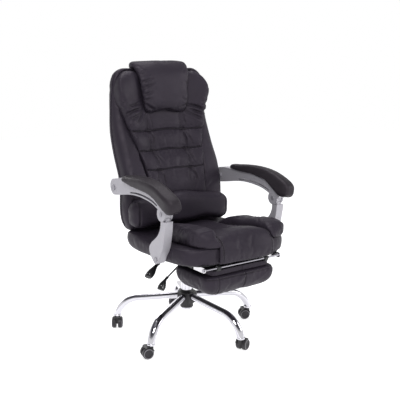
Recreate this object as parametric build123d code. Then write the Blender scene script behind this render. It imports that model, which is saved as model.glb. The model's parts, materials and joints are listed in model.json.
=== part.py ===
"""Reclining office chair with a pull-out footrest, as an assembly of separate pieces.

Millimetres, +Z up. The sitter faces -Y and their right hand, on the lever side, is at -X.
The origin is on the floor, on the axis of the gas column. The chair stands at its lowest
seat height, upright, with the footrest stowed under the seat.
"""
from build123d import *
from math import atan2, cos, degrees, hypot, radians, sin, tan
import os

os.makedirs("parts", exist_ok=True)

# ---------------------------------------------------------------- driving dimensions
RUNNING = 0.05          # radial clearance of a shaft in its hole
TOUCH = 0.3             # gap between soft pieces that lie against each other

# castors
wheel_radius = 24.0
wheel_width = 18.0
castor_web = 8.0        # thickness of the hood's web between the two wheels
wheel_gap = 0.6         # between a wheel and the web
castor_trail = 17.0     # axle behind the stem
axle_radius = 3.0
stem_radius = 5.5
stem_length = 34.0
fender_gap = 1.2
fender_wall = 2.0
castor_headings = (168, 23, 159, 145, 235)   # way each castor trails, degrees from +X

# five-leg base
leg_count = 5
leg_first_angle = -61.5     # of the first leg, degrees from -Y towards +X
leg_reach = 318.0           # of a castor stem from the column axis
leg_tip_z = 2 * wheel_radius + 8.0
leg_droop = 7.0             # degrees, of the straight stretch
leg_tip_heading = 76.0      # degrees below level where the bend ends
leg_bend = 114.0
leg_width = 35.0
leg_height = 30.0
leg_wall = 1.8
collar_radius = 18.0
collar_height = 9.0
hub_apothem = 38.0
hub_low = 136.0
hub_high = 184.0

# gas column
column_radius = 25.0
column_wall = 2.2
column_low = 106.0
column_top = 258.0
cylinder_radius = 14.0
cylinder_wall = 3.0
cylinder_low = 150.0
cylinder_top = 397.0
chamber_floor = 10.0        # thickness of the cylinder's lower end
seat_travel = 80.0
rod_radius = 5.0
button_radius = 4.0
button_top = 404.0

# seat mechanism
housing_half_width = 88.0
housing_wall = 3.0
housing_front = -150.0
housing_low = 370.0
socket_radius = 20.0
hinge_y, hinge_z = 102.0, 416.0      # recline axis
hinge_radius = 8.0
ear_radius = 18.0
lock_radius = 45.0                   # of the quadrant's slot about the recline axis
lock_rod_radius = 4.0
lock_rod_angle = 20.0                # of the clamp rod, degrees forward of straight down
recline_limit = 40.0
bolt_radius = 3.0

# seat
board_low = 420.0
board_thickness = 12.0
board_front = -384.0
board_rear = 42.0
seat_half_width = 257.0
board_half_width = seat_half_width - 43.0
seat_low = 421.0
seat_front = -396.0
seat_rear = 74.0
seat_rear_top = 458.0       # top of the lower cushion at the rear
seat_rise = 33.0            # and how much higher it is at the front
panel_half_width = 146.0
panel_front = -412.0
bolster_half_width = seat_half_width - 2.0

# backrest, by horizontal section
back_low = 464.0
bracket_half_width = 98.0
bracket_thickness = 6.0
roll_right, roll_left = -256.0, 236.0    # ends of the lumbar roll, a little off centre and clear of the arms

# armrests: middle plane, width, and the pivots (y, z)
arm_width = 36.0
arm_x = seat_half_width + arm_width / 2 + 2.0
rear_pivot = (104.0, 664.0)
knuckle = (-264.0, 616.0)
foot_pivot = (-224.0, 432.0)
knuckle_radius = 28.0
cheek = 8.0
pivot_pin = 5.0
open_pivot_slack = 3.2      # the rear pin's play in its hole, which closes the linkage
open_pivot_offset = (0.4, 0.7)
pad_half_width = 30.0
pad_lean = 10.0             # of the pad's top towards the outside, degrees

# footrest
rail_x = 180.0
rail_width = 12.0
rail_height = 10.0
footrest_y, footrest_z = -390.0, 409.5     # axis of the crossbar, stowed
crossbar_radius = 4.5
guide_front = -320.0
guide_rear = -18.0
tab_length = 76.0
tab_thickness = 3.0
pad_rear = housing_front - 3.0
pad_front = -395.0
pad_half = 170.0
pad_low = 296.0
pad_split = 372.0           # between the pad's cushion and its covered board
board_top_gap = 12.5        # of the pad's board below the crossbar axis

# ---------------------------------------------------------------- small helpers


def save(node, *pieces):
    """Write one node, which may be a group of separate pieces."""
    solids = [solid for piece in pieces for solid in piece.solids()]
    shape = solids[0] if len(solids) == 1 else Compound(children=solids)
    export_step(shape, f"parts/{node}.step")
    return solids


def block(x0, x1, y0, y1, z0, z1):
    return Pos((x0 + x1) / 2, (y0 + y1) / 2, (z0 + z1) / 2) * Box(x1 - x0, y1 - y0, z1 - z0)


def post(radius, z0, z1, x=0.0, y=0.0):
    """An upright cylinder."""
    return Pos(x, y, (z0 + z1) / 2) * Cylinder(radius, z1 - z0)


def bar(radius, x0, x1, y, z):
    """A cylinder along X."""
    return Pos((x0 + x1) / 2, y, z) * Rot(0, 90, 0) * Cylinder(radius, abs(x1 - x0))


def side_plate(outline, x0, x1):
    """Extrude an outline drawn in (y, z) from x0 to x1."""
    return extrude(Plane.YZ.offset(x0) * outline, x1 - x0, dir=(1, 0, 0))


def mirrored(piece):
    """The same piece on the other side of the chair."""
    return mirror(piece, about=Plane.YZ)


def bow(start, end, rise):
    """An edge from start to end that bows to its right by rise."""
    if abs(rise) < 1e-6:
        return Line(start, end)
    dx, dy = end[0] - start[0], end[1] - start[1]
    length = hypot(dx, dy)
    middle = ((start[0] + end[0]) / 2 + dy / length * rise, (start[1] + end[1]) / 2 - dx / length * rise)
    return ThreePointArc(start, middle, end)


def cushion_face(left, right, low, high, corner, crown=0.0, belly=0.0, side=0.0, tilt=0.0):
    """A four-sided outline with bowed sides and round corners; tilt raises the right end."""
    a, b = (left, low), (right, low + tilt)
    c, d = (right, high + tilt), (left, high)
    edges = [bow(a, b, belly), bow(b, c, side), bow(c, d, crown), bow(d, a, side)]
    face = make_face(Wire(edges))
    return fillet(face.vertices(), corner)


def across(y):
    """The upright plane at y, with local axes X and Z."""
    return Plane(origin=(0, y, 0), x_dir=(1, 0, 0), z_dir=(0, -1, 0))


def lengthwise(x):
    """The upright plane at x, with local axes Y and Z."""
    return Plane(origin=(x, 0, 0), x_dir=(0, 1, 0), z_dir=(1, 0, 0))


def level(z):
    return Plane(origin=(0, 0, z))


def between(table, z):
    """Read a value off a short table of (height, value), in straight lines."""
    for (z0, v0), (z1, v1) in zip(table, table[1:]):
        if z <= z1:
            return v0 + (v1 - v0) * (z - z0) / (z1 - z0)
    return table[-1][1]


def about_hinge(radius, angle):
    """A point at radius from the recline axis, angle degrees forward of straight down."""
    return hinge_y - radius * sin(radians(angle)), hinge_z - radius * cos(radians(angle))


# ---------------------------------------------------------------- base: hub and legs
leg_angles = [leg_first_angle - 90 + 360 / leg_count * k for k in range(leg_count)]
droop, tip_heading = radians(leg_droop), radians(leg_tip_heading)
bend_start_x = leg_reach - leg_bend * (sin(tip_heading) - sin(droop))
bend_start_z = leg_tip_z + leg_bend * (cos(droop) - cos(tip_heading))
leg_root_z = bend_start_z + (bend_start_x - hub_apothem) * tan(droop)


def bend_point(heading):
    """A point of the leg's bend, where it heads the given angle below level."""
    return (bend_start_x + leg_bend * (sin(heading) - sin(droop)), 0,
            bend_start_z - leg_bend * (cos(droop) - cos(heading)))


def leg():
    """One leg along +X: an oval tube, straight and then bent down, with a collar for the stem."""
    root = (hub_apothem, 0, leg_root_z)
    path = Wire([
        Line(root, bend_point(droop)),
        ThreePointArc(bend_point(droop), bend_point((droop + tip_heading) / 2), bend_point(tip_heading)),
    ])
    start = Plane(origin=root, x_dir=(0, 1, 0), z_dir=(cos(droop), 0, -sin(droop)))
    tube = sweep(start * Ellipse(leg_width / 2, leg_height / 2), path=path)
    bore = sweep(start * Ellipse(leg_width / 2 - leg_wall, leg_height / 2 - leg_wall), path=path)
    low = leg_tip_z - collar_height / 2
    collar = fillet(post(collar_radius, low, low + collar_height, leg_reach).edges(), 1.5)
    socket = post(stem_radius + 4, leg_tip_z, low + stem_length + 3, leg_reach)
    hole = post(stem_radius + RUNNING, low - 1, low + stem_length + 1, leg_reach)
    hub_side = block(0, hub_apothem, -leg_width, leg_width, 0, 2 * leg_root_z)
    return (tube - bore) + collar + (socket & tube) - hole - hub_side


def hub():
    """Five flat sides that the legs butt against, a collar above and a boss below."""
    corner = hub_apothem / cos(radians(180 / leg_count))
    turn = leg_angles[0] + 180 / leg_count
    points = [(corner * cos(radians(turn + 360 / leg_count * k)), corner * sin(radians(turn + 360 / leg_count * k)))
              for k in range(leg_count)]
    core = extrude(level(hub_low) * Polygon(*points, align=None), hub_high - hub_low)
    core = fillet(core.edges().filter_by(Axis.Z), 6)
    collar = Pos(0, 0, hub_high + 5) * Cone(column_radius + 9, column_radius + 3, 10)
    boss = post(column_radius + 4, column_low + 8, hub_low)
    return core + collar + boss - post(column_radius + RUNNING, 0, hub_high + 20)


save("base_hub", hub())
one_leg = leg()
for k, angle in enumerate(leg_angles):
    save(f"base_leg_{k + 1}", Rot(0, 0, angle) * one_leg)

# ---------------------------------------------------------------- castors
castor_half = castor_web / 2
wheel_in = castor_half + wheel_gap
wheel_out = wheel_in + wheel_width
hood_top = leg_tip_z - collar_height / 2 - TOUCH


def castor_hood():
    """Hood, stem and axle of a castor that trails along +X from its stem at the origin."""
    r_in, r_out = wheel_radius + fender_gap, wheel_radius + fender_gap + fender_wall
    axle = (castor_trail, wheel_radius)
    ring = Circle(r_out) - Circle(r_in)
    stem_side = Polygon((0, 0), (-60, 18), (-60, 60), (34, 60), align=None)
    upright = Plane(origin=(axle[0], 0, axle[1]), x_dir=(1, 0, 0), z_dir=(0, -1, 0))
    fender = extrude(upright * (ring & stem_side), wheel_out - 1, both=True)
    web = extrude(upright * (Circle(r_in + 1) & Polygon((0, -7), (-60, -7), (-60, 60), (34, 60), (7, 0), align=None)),
                  castor_half, both=True)
    boss = post(stem_radius + 5, wheel_radius + 4, hood_top)
    boss -= extrude(upright * Circle(r_in), 60, both=True)
    hood = fender + web + boss
    axle_hole = Pos(axle[0], 0, axle[1]) * Rot(90, 0, 0) * Cylinder(axle_radius, 4 * castor_half)
    stem_low = wheel_radius + 21
    stem_hole = post(stem_radius, stem_low, hood_top + 1)
    stem = post(stem_radius, stem_low, hood_top + TOUCH + stem_length)
    axle_pin = Pos(axle[0], 0, axle[1]) * Rot(90, 0, 0) * Cylinder(axle_radius, 2 * (wheel_out - 3))
    return hood - axle_hole - stem_hole, stem, axle_pin


def castor_wheel():
    """A wheel on the +Y side of the web: rounded tread, dished outer face with a rim line."""
    r, w = wheel_radius, wheel_width
    bore = axle_radius + RUNNING
    outline = Polyline((bore, 0), (r - 2, 0), (r, 2), (r, w - 6))
    shoulder = ThreePointArc((r, w - 6), (r - 1.5, w - 2), (r - 5, w - 0.5))
    face = Polyline((r - 5, w - 0.5), (r - 6, w - 2), (8, w), (8, w - 1.5), (0, w - 1.5), (0, w - 3),
                    (bore, w - 3), (bore, 0))
    section = make_face(Wire([*outline.edges(), shoulder, *face.edges()]))
    wheel = revolve(Plane.XZ * section, Axis.Z)
    return Pos(castor_trail, wheel_in, wheel_radius) * Rot(-90, 0, 0) * wheel


hood_pieces = castor_hood()
wheel_a = castor_wheel()
wheel_b = mirror(wheel_a, about=Plane.XZ)
for k, (leg_angle, heading) in enumerate(zip(leg_angles, castor_headings)):
    place = Pos(leg_reach * cos(radians(leg_angle)), leg_reach * sin(radians(leg_angle)), 0) * Rot(0, 0, heading)
    save(f"castor_hood_{k + 1}", *[place * piece for piece in hood_pieces])
    save(f"castor_wheel_{k + 1}_a", place * wheel_a)
    save(f"castor_wheel_{k + 1}_b", place * wheel_b)

# ---------------------------------------------------------------- gas column
column_inner = column_radius - column_wall
plate_top = column_low + 4
bearing_height = 6.0
shoulder_low = plate_top + bearing_height + 0.2

tube = post(column_radius, column_low, column_top) - post(column_inner, plate_top, column_top + 1)
tube -= post(rod_radius + RUNNING, column_low - 1, plate_top + 1)
save("column_tube", tube)

bush = post(column_radius + 2.5, column_top + 0.1, column_top + 8)
bush = fillet(bush.edges().group_by(Axis.Z)[-1], 2)
bush += post(column_inner - RUNNING, column_top - 60, column_top + 1)
save("column_bush", bush - post(cylinder_radius + RUNNING, 0, 2 * column_top))

washer = post(13, 0, 1.8) - post(rod_radius + 0.3, -1, 3)
cage = post(11.5, 1.9, bearing_height - 1.9) - post(7, 0, bearing_height)
save("thrust_bearing", *[Pos(0, 0, plate_top) * piece for piece in
                         (washer, cage, Pos(0, 0, bearing_height - 1.8) * washer)])

clip_z = column_low - 2.2
piston_low = cylinder_low + chamber_floor + seat_travel + 3
rod = post(rod_radius, column_low - 7, piston_low + 12) + post(9, shoulder_low, shoulder_low + 4)
rod -= post(rod_radius + 1, clip_z, clip_z + 2) - post(rod_radius - 1, clip_z, clip_z + 2)
piston_radius = cylinder_radius - cylinder_wall - RUNNING
rod += post(piston_radius, piston_low, piston_low + 12)
clip = post(9, clip_z + 0.1, clip_z + 1.9) - post(rod_radius - 1 + RUNNING, 0, clip_z + 3)
save("piston_rod", rod, clip - block(-3.5, 3.5, 0, 20, clip_z, clip_z + 2))

chamber_top = cylinder_top - 22
cylinder = post(cylinder_radius, cylinder_low, cylinder_top)
cylinder -= post(cylinder_radius - cylinder_wall, cylinder_low + chamber_floor, chamber_top)
cylinder -= post(rod_radius + RUNNING, cylinder_low - 1, cylinder_low + chamber_floor + 1)
cylinder -= post(button_radius + RUNNING, chamber_top - 1, cylinder_top + 1)
save("gas_cylinder", cylinder)
button = fillet(post(button_radius, chamber_top + 5, button_top).edges().group_by(Axis.Z)[-1], 1)
save("valve_button", button)

# ---------------------------------------------------------------- levers
# Each lever is drawn in its own upright plane: r out from the column or hinge, z up.
height_way = atan2(-0.396, -0.918)      # plan direction of the height lever
height_pivot_r = 32.0
height_z = button_top + 4.6
recline_way = atan2(-0.287, -0.958)
recline_pivot = (-66.0, -119.8, 389.0)
lever_pin = 2.5
height_rod_radius = 4.5
recline_rod_radius = 3.3


def lever_plane(origin, way):
    """Local x runs out along the lever, local y is up."""
    return Plane(origin=origin, x_dir=(cos(way), sin(way), 0), z_dir=(sin(way), -cos(way), 0))


def rod_along(points, radius, bend):
    """A round rod along a bent line in the XY plane."""
    path = FilletPolyline(*points, radius=bend) if len(points) > 2 else Line(*points)
    first, second = Vector(*points[0]), Vector(*points[1])
    start = Plane(origin=first, z_dir=second - first)
    return sweep(start * Circle(radius), path=path)


def paddle(start, end, tip, neck, width, thick):
    """A moulded grip: a round sleeve that flattens and widens towards its bent end."""
    stations = ((start, neck, neck), (end, neck * 1.15, neck * 1.05), (tip[0], width, thick * 1.2), (tip[1], width, thick))
    faces = []
    for k, (point, wide, high) in enumerate(stations):
        before = stations[max(k - 1, 0)][0]
        after = stations[min(k + 1, len(stations) - 1)][0]
        way = Vector(*after) - Vector(*before)
        plane = Plane(origin=(*point, 0), x_dir=(0, 0, 1), z_dir=(way.X, way.Y, 0))
        faces.append(plane * Ellipse(wide / 2, high / 2))
    return loft(faces)


height_plane = lever_plane((0, 0, 0), height_way)
height_slope = (369.0 - height_z) / (196 - 45)
height_points = [(0, height_z), (45, height_z), (230, height_z + 185 * height_slope)]
height_rod = rod_along(height_points, height_rod_radius, 30)
height_rod -= Pos(height_pivot_r, height_z, 0) * Cylinder(lever_pin + RUNNING, 30)
sleeve_start = (212.0, height_z + 167 * height_slope)
height_grip = paddle(sleeve_start, (236.0, 357.0), ((262.0, 343.0), (290.0, 327.0)), 14, 34, 17)
height_grip -= rod_along(height_points[1:], height_rod_radius, 30)
save("height_lever", height_plane * height_rod)
save("height_paddle", height_plane * height_grip)

recline_plane = lever_plane(recline_pivot, recline_way)
recline_slope = -32.0 / 73.0
recline_rod = rod_along([(-10.0, 0.0), (14.0, 14 * recline_slope + 2.0), (158.0, 158 * recline_slope)], recline_rod_radius, 30)
recline_rod -= Cylinder(lever_pin + RUNNING, 30)
grip_from = (142.0, 142 * recline_slope)
recline_grip = paddle(grip_from, (158.0, 158 * recline_slope - 2), ((172.0, -86.0), (186.0, -104.0)), 12, 32, 17)
recline_grip -= rod_along([(14.0, 14 * recline_slope + 2.0), (158.0, 158 * recline_slope)], recline_rod_radius, 30)
save("recline_lever", recline_plane * recline_rod)
save("recline_paddle", recline_plane * recline_grip)

# ---------------------------------------------------------------- seat mechanism
lock_y, lock_z = about_hinge(lock_radius, lock_rod_angle)


def lever_ears(plane, r, z, gap):
    """Two upright ears and the pin that a lever turns on, rising from the housing's floor."""
    pieces = []
    for side in (-1, 1):
        ear = plane * Pos(r, (housing_low + 1 + z + 5) / 2 - plane.origin.Z, side * (gap + 1.5)) * Box(
            12, z + 5 - housing_low - 1, 3)
        pieces.append(ear)
    return pieces + [plane * Pos(r, z - plane.origin.Z, 0) * Cylinder(lever_pin, 2 * gap + 10)]


def housing():
    """Pressed steel tray: floor, side walls with the hinge ears, flanges, and the column socket."""
    inner = housing_half_width - housing_wall
    wall = Polygon((housing_front, housing_low), (40, housing_low), (lock_y - 8, lock_z - 12), (lock_y + 6, lock_z - 12),
                   (hinge_y + ear_radius, hinge_z - 4), (hinge_y, hinge_z), (board_rear + 40, board_low),
                   (housing_front, board_low), align=None)
    wall += Pos(hinge_y, hinge_z) * Circle(ear_radius)
    wall += Pos(lock_y, lock_z) * Circle(12)
    wall -= Pos(hinge_y, hinge_z) * Circle(hinge_radius)
    wall -= Pos(lock_y, lock_z) * Circle(lock_rod_radius)
    right = side_plate(wall, -housing_half_width, -inner)
    flange = block(housing_half_width - 1, housing_half_width + 28, housing_front + 8, board_rear, board_low - 3, board_low)
    left = side_plate(wall, inner, housing_half_width) + flange
    right += mirrored(flange)
    floor = block(-inner, inner, housing_front, 40, housing_low, housing_low + housing_wall)
    front = block(-inner, inner, housing_front, housing_front + housing_wall, housing_low, board_low)
    socket = post(socket_radius, housing_low - 4, button_top - 3)
    tray = left + right + floor + front + socket
    tray -= post(cylinder_radius + RUNNING, housing_low - 10, button_top + 2)
    for ears in (lever_ears(height_plane, height_pivot_r, height_z, 8.0),
                 lever_ears(recline_plane, 0.0, recline_pivot[2], 7.0)):
        for piece in ears:
            tray += piece
    height_exit = housing_half_width * tan(height_way)
    recline_exit = recline_pivot[1] - (housing_half_width + recline_pivot[0]) * tan(recline_way)
    tray -= block(-housing_half_width - 5, -inner + 5, -height_exit - 9, -height_exit + 9, 384, 411)
    tray -= block(-housing_half_width - 5, -inner + 5, recline_exit - 8, recline_exit + 8, 374, 396)
    for x in (-1, 1):
        for y in bolt_rows:
            tray -= post(bolt_radius + RUNNING, board_low - 5, board_low + 1, x * bolt_x, y)
    return tray


bolt_x = housing_half_width + 15
bolt_rows = (housing_front + 24, 30.0)
save("mechanism_housing", housing())


def hex_bolt(x, y):
    head = extrude(Plane(origin=(x, y, board_low - 8)) * RegularPolygon(5.5, 6), 5)
    return head + post(bolt_radius, board_low - 3.5, board_low + board_thickness - 2, x, y)


save("mechanism_bolts", *[hex_bolt(x * bolt_x, y) for x in (-1, 1) for y in bolt_rows])

shaft_end = bracket_half_width + 3
shaft = bar(hinge_radius - RUNNING, -shaft_end, shaft_end, hinge_y, hinge_z)
for x in (-1, 1):
    shaft += bar(hinge_radius + 3, x * (shaft_end - 1), x * (shaft_end + 3), hinge_y, hinge_z)
clamp_rod = bar(lock_rod_radius - RUNNING, -housing_half_width - 6, housing_half_width + 6, lock_y, lock_z)
for x in (-1, 1):
    clamp_rod += bar(lock_rod_radius + 3, x * (housing_half_width + 0.2), x * (housing_half_width + 6), lock_y, lock_z)
save("hinge_shaft", shaft, clamp_rod)

# ---------------------------------------------------------------- seat: board and cushions
foot_ear_x = board_half_width + 1.0
board_outline = Rectangle(2 * board_half_width, board_rear - board_front)
board_outline = fillet(board_outline.vertices(), 55)
board = extrude(Plane(origin=(0, (board_front + board_rear) / 2, board_low)) * board_outline, board_thickness)
for x in (-1, 1):
    for y in bolt_rows:
        board -= post(bolt_radius + RUNNING, board_low - 1, board_low + board_thickness + 1, x * bolt_x, y)
save("seat_board", board)


def seat_top(y):
    """Height of the lower cushion's flat top, which rises towards the front."""
    return seat_rear_top + seat_rise * (seat_rear - y) / (seat_rear - seat_front)


def arm_foot_pin():
    """Angle bracket on the board's edge with the pin that the lower arm turns on."""
    y, z = foot_pivot
    ear = block(foot_ear_x, foot_ear_x + 4, y - 20, y + 20, board_low - 4, z + 16)
    strap = block(board_half_width - 19, foot_ear_x + 2, y - 20, y + 20, board_low - 4, board_low - 0.1)
    pin = bar(pivot_pin + 1, foot_ear_x + 2, arm_x + arm_width / 2 + 1, y, z)
    head = bar(pivot_pin + 5, arm_x + arm_width / 2 + TOUCH, arm_x + arm_width / 2 + 3.5, y, z)
    return ear + strap + pin + head


def seat_cushion():
    """Lower cushion with the side boxing, bowed at the sides and round at front and rear."""
    wide = seat_half_width
    stations = (
        (seat_rear, wide - 52, 433, seat_top(seat_rear), 11), (seat_rear - 12, wide - 19, 425, seat_top(62), 16),
        (seat_rear - 70, wide - 3, seat_low, seat_top(4), 18), (-120, wide, seat_low, seat_top(-120), 18),
        (-270, wide - 2, seat_low, seat_top(-270), 18), (-345, wide - 21, seat_low, seat_top(-345), 18),
        (-384, wide - 67, seat_low, seat_top(-384), 18),
        (seat_front, panel_half_width, seat_low + 3, seat_top(seat_front), 14),
    )
    body = loft([across(y) * cushion_face(-half, half, low, high, corner)
                 for y, half, low, high, corner in stations])
    pocket = Plane(origin=(0, (board_front + board_rear) / 2, board_low - 5)) * offset(board_outline, TOUCH)
    body -= extrude(pocket, board_thickness + 5 + TOUCH)
    y, z = foot_pivot
    for side in (-1, 1):
        body -= bar(pivot_pin + 1 + TOUCH, side * 150, side * 300, y, z)
        ear_room = block(foot_ear_x - 1.2, foot_ear_x + 4 + TOUCH, y - 20 - TOUCH, y + 20 + TOUCH, 400, z + 16 + TOUCH)
        body -= ear_room if side > 0 else mirrored(ear_room)
    return body


pin = arm_foot_pin()
save("arm_foot_pins", pin, mirrored(pin))
save("seat_cushion", seat_cushion())


def panel_face(x, thick, front):
    """Side view of the centre panel at x: over the top and down the front."""
    rear = seat_rear - 26
    top_rear = (rear, seat_top(rear) + thick * 0.45)
    bottom_rear = (rear + 3, seat_top(rear + 3) + TOUCH)
    corner = (seat_front - TOUCH, seat_top(seat_front) + TOUCH)
    edges = [
        Line(bottom_rear, top_rear),
        bow(top_rear, (-345.0, seat_top(-345.0) + thick), 4),
        bow((-345.0, seat_top(-345.0) + thick), (front, seat_top(seat_front) - 22), 20),
        bow((front, seat_top(seat_front) - 22), (front + 5, seat_low + 2), 3),
        Line((front + 5, seat_low + 2), (seat_front - TOUCH, seat_low + 2)),
        Line((seat_front - TOUCH, seat_low + 2), corner),
        Line(corner, bottom_rear),
    ]
    return lengthwise(x) * make_face(Wire(edges))


panel_stations = ((-panel_half_width, 15, panel_front + 5), (-panel_half_width + 16, 21, panel_front + 2),
                  (0, 25, panel_front), (panel_half_width - 16, 21, panel_front + 2),
                  (panel_half_width, 15, panel_front + 5))
panel = loft([panel_face(*station) for station in panel_stations])
save("seat_panel", panel)


def bolster():
    """Leaf-shaped side bolster that lies on the lower cushion, highest near the front."""
    inner = panel_half_width + 1
    outer = bolster_half_width
    stations = ((34, 188, outer - 21, 5, 2), (8, 164, outer - 9, 15, 6), (-50, inner, outer - 3, 36, 14),
                (-200, inner, outer, 49, 18), (-300, inner, outer, 53, 18),
                (-362, inner + 4, outer - 11, 42, 14), (-386, 172, outer - 33, 18, 7))
    faces = []
    for y, x0, x1, high, corner in stations:
        low = seat_top(y) + TOUCH
        faces.append(across(y) * cushion_face(x0, x1, low, low + high, corner, crown=high * 0.12, side=2))
    leaf = loft(faces) - Pos(TOUCH, 0, 0) * panel
    return leaf.solids().sort_by(SortBy.VOLUME)[-1]


left_bolster = bolster()
save("seat_bolster_left", left_bolster)
save("seat_bolster_right", mirrored(left_bolster))

# ---------------------------------------------------------------- backrest
# Measured by height: rear face, front face at the sides, half width.
rear_line = ((back_low, 148), (520, 160), (580, 163), (640, 166), (720, 186), (800, 217), (900, 245), (985, 252),
             (1050, 250), (1110, 243), (1152, 232))
front_line = ((back_low, 68), (520, 60), (580, 58), (640, 60), (720, 80), (800, 118), (900, 164), (985, 186),
              (1050, 186), (1110, 190), (1152, 200))
width_line = ((back_low, 238), (520, 247), (580, 250), (640, 251), (720, 251), (800, 249), (900, 245), (985, 245),
              (1050, 242), (1110, 222), (1152, 158))
# The quilted front cushion: half width, front at its edges, front at its tufts.
quilt_width = ((590, 140), (640, 143), (727, 151), (806, 164), (889, 185), (960, 208), (1040, 226), (1100, 212),
               (1142, 160))
quilt_edge = ((590, 44), (640, 50), (727, 69), (806, 105), (889, 128), (960, 142), (1040, 145), (1100, 163),
              (1142, 190))
quilt_tuft = ((590, 46), (640, 52), (727, 76), (806, 130), (889, 156), (960, 180), (1040, 192), (1100, 198),
              (1142, 204))
tuft_x = 87.0
quilt_depth = 34.0      # of the quilted cushion behind its tufts
puff = 8.0              # how far the quilting stands out between seams
seams = (590, 727, 806, 889)


def quilt_face(z, out):
    """Horizontal section: three bowed lobes in front between edge, tuft and edge, flat behind."""
    half, back = between(quilt_width, z), between(quilt_tuft, z) + quilt_depth
    edge, tuft = between(quilt_edge, z) - out + puff, between(quilt_tuft, z) - out + puff
    points = [(-half, edge), (-tuft_x, tuft), (tuft_x, tuft), (half, edge)]
    edges = [bow(a, b, puff * 0.7) for a, b in zip(points, points[1:])]
    edges += [Line((half, edge), (half, back)), Line((half, back), (-half, back)), Line((-half, back), (-half, edge))]
    return level(z) * make_face(Wire(edges))


def recess_face(z):
    """The room the cushion takes in the shell at this height, open to the front."""
    half, back = between(quilt_width, z) + TOUCH, between(quilt_tuft, z) + quilt_depth + TOUCH
    return level(z) * Pos(0, back / 2 - 100) * Rectangle(2 * half, back + 200)


def quilt_band(low, high):
    """One sewn channel: full in the middle and drawn in at its two seams."""
    middle = (low + high) / 2
    return loft([quilt_face(low, 0), quilt_face(middle, puff), quilt_face(high, 0)])


def back_shell():
    """The padded shell: round-cornered horizontal sections from its bottom edge to its top."""
    stations = [z for z, _ in rear_line]
    faces = []
    for z in stations:
        half, front, rear = between(width_line, z), between(front_line, z), between(rear_line, z)
        corner = min(30.0, (rear - front) / 2 - 4) if z > back_low else 20
        inset = 6 if z == back_low else 0
        face = cushion_face(-half + inset, half - inset, front + inset, rear - inset, corner, crown=3)
        faces.append(level(z) * face)
    return loft(faces)


quilt_bands = [quilt_band(low, high) for low, high in zip(seams, seams[1:])]
wing_levels = (889, 925, 985, 1040, 1100, 1142)
wings = loft([quilt_face(z, 0 if z in (889, 1142) else puff) for z in wing_levels])
back_cushion = quilt_bands[0] + quilt_bands[1] + quilt_bands[2] + wings
recess_levels = [(low, (low + high) / 2, high) for low, high in zip(seams, seams[1:])] + [wing_levels]
recess = loft([recess_face(z) for z in recess_levels[0]])
for levels in recess_levels[1:]:
    recess += loft([recess_face(z) for z in levels])

bar_y = 128.0       # middle of the bracket's uprights inside the shell


def bracket_bars():
    """Two flat uprights from the hinge shaft into the shell, drawn in (y, z)."""
    rise = Polygon((hinge_y + 18, hinge_z - 2), (bar_y + 20, back_low - 12), (bar_y + 14, 630), (bar_y - 14, 630),
                   (bar_y - 20, back_low - 12), (hinge_y - 14, hinge_z), align=None)
    rise += Pos(hinge_y, hinge_z) * Circle(ear_radius + 2)
    return rise - Pos(hinge_y, hinge_z) * Circle(hinge_radius)


def back_bracket():
    """Bars, the cross plate between them, and the slotted locking quadrant under the hinge."""
    left = side_plate(bracket_bars(), bracket_half_width - bracket_thickness, bracket_half_width)
    frame = left + mirrored(left)
    cross = block(-bracket_half_width + 1, bracket_half_width - 1, bar_y - 3, bar_y + 3, hinge_z + 8, back_low - 8)
    frame += cross
    reach = lock_rod_angle + 14
    inner, outer = lock_radius - 12, lock_radius + 11
    sector = Circle(outer) - Circle(hinge_radius + 1)
    wedge = Polygon((0, 0), (-90 * sin(radians(reach)), -90 * cos(radians(reach))), (0, -110),
                    (90 * sin(radians(reach)), -90 * cos(radians(reach))), align=None)
    ring = Circle(ear_radius) - Circle(hinge_radius)
    arm = Polygon((8, -12), (bar_y - hinge_y + 3, 0), (bar_y - hinge_y + 3, 40), (bar_y - hinge_y - 3, 40), (0, 14), align=None)
    turn = Rot(0, 0, 90)
    plate = (sector & wedge) + ring + arm - Circle(hinge_radius)
    slot_half = lock_rod_radius + 0.6
    band = (Circle(lock_radius + slot_half) - Circle(lock_radius - slot_half))
    low_reach, high_reach = radians(lock_rod_angle), radians(lock_rod_angle - recline_limit)
    span = Polygon((0, 0), (-200 * sin(low_reach), -200 * cos(low_reach)), (0, -200),
                   (-200 * sin(high_reach), -200 * cos(high_reach)), align=None)
    slot = band & span
    for angle in (low_reach, high_reach):
        slot += Pos(-lock_radius * sin(angle), -lock_radius * cos(angle)) * Circle(slot_half)
    plate = Pos(hinge_y, hinge_z) * (plate - slot)
    return frame + side_plate(plate, -3, 3)


padded_back = back_shell()


def arm_pivot_pin():
    """Shouldered pin on the backrest's side: shank in the shell, spacer, play in the arm, head."""
    y, z = rear_pivot
    shell_side = between(width_line, z)
    outer = arm_x + arm_width / 2
    pin = bar(pivot_pin, shell_side - 20, outer + 1, y, z)
    pin += bar(14, shell_side + TOUCH, arm_x - arm_width / 2 - TOUCH, y, z)
    return pin + bar(12, outer + TOUCH, outer + 3.5, y, z)


shell = padded_back - recess
for x in (-1, 1):
    side = x * bracket_half_width
    room_y = (bar_y - 20 - TOUCH, bar_y + 20 + TOUCH)
    low_x, high_x = sorted((side + x * TOUCH, side - x * (bracket_thickness + TOUCH)))
    shell -= block(low_x, high_x, *room_y, back_low - 20, 630 + TOUCH)
    shell -= bar(pivot_pin + RUNNING, x * 220, x * 260, *rear_pivot)
save("back_bracket", back_bracket())
save("back_shell", shell)
save("back_cushion", back_cushion)
pin = arm_pivot_pin()
save("arm_pivot_pins", pin, mirrored(pin))


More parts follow.
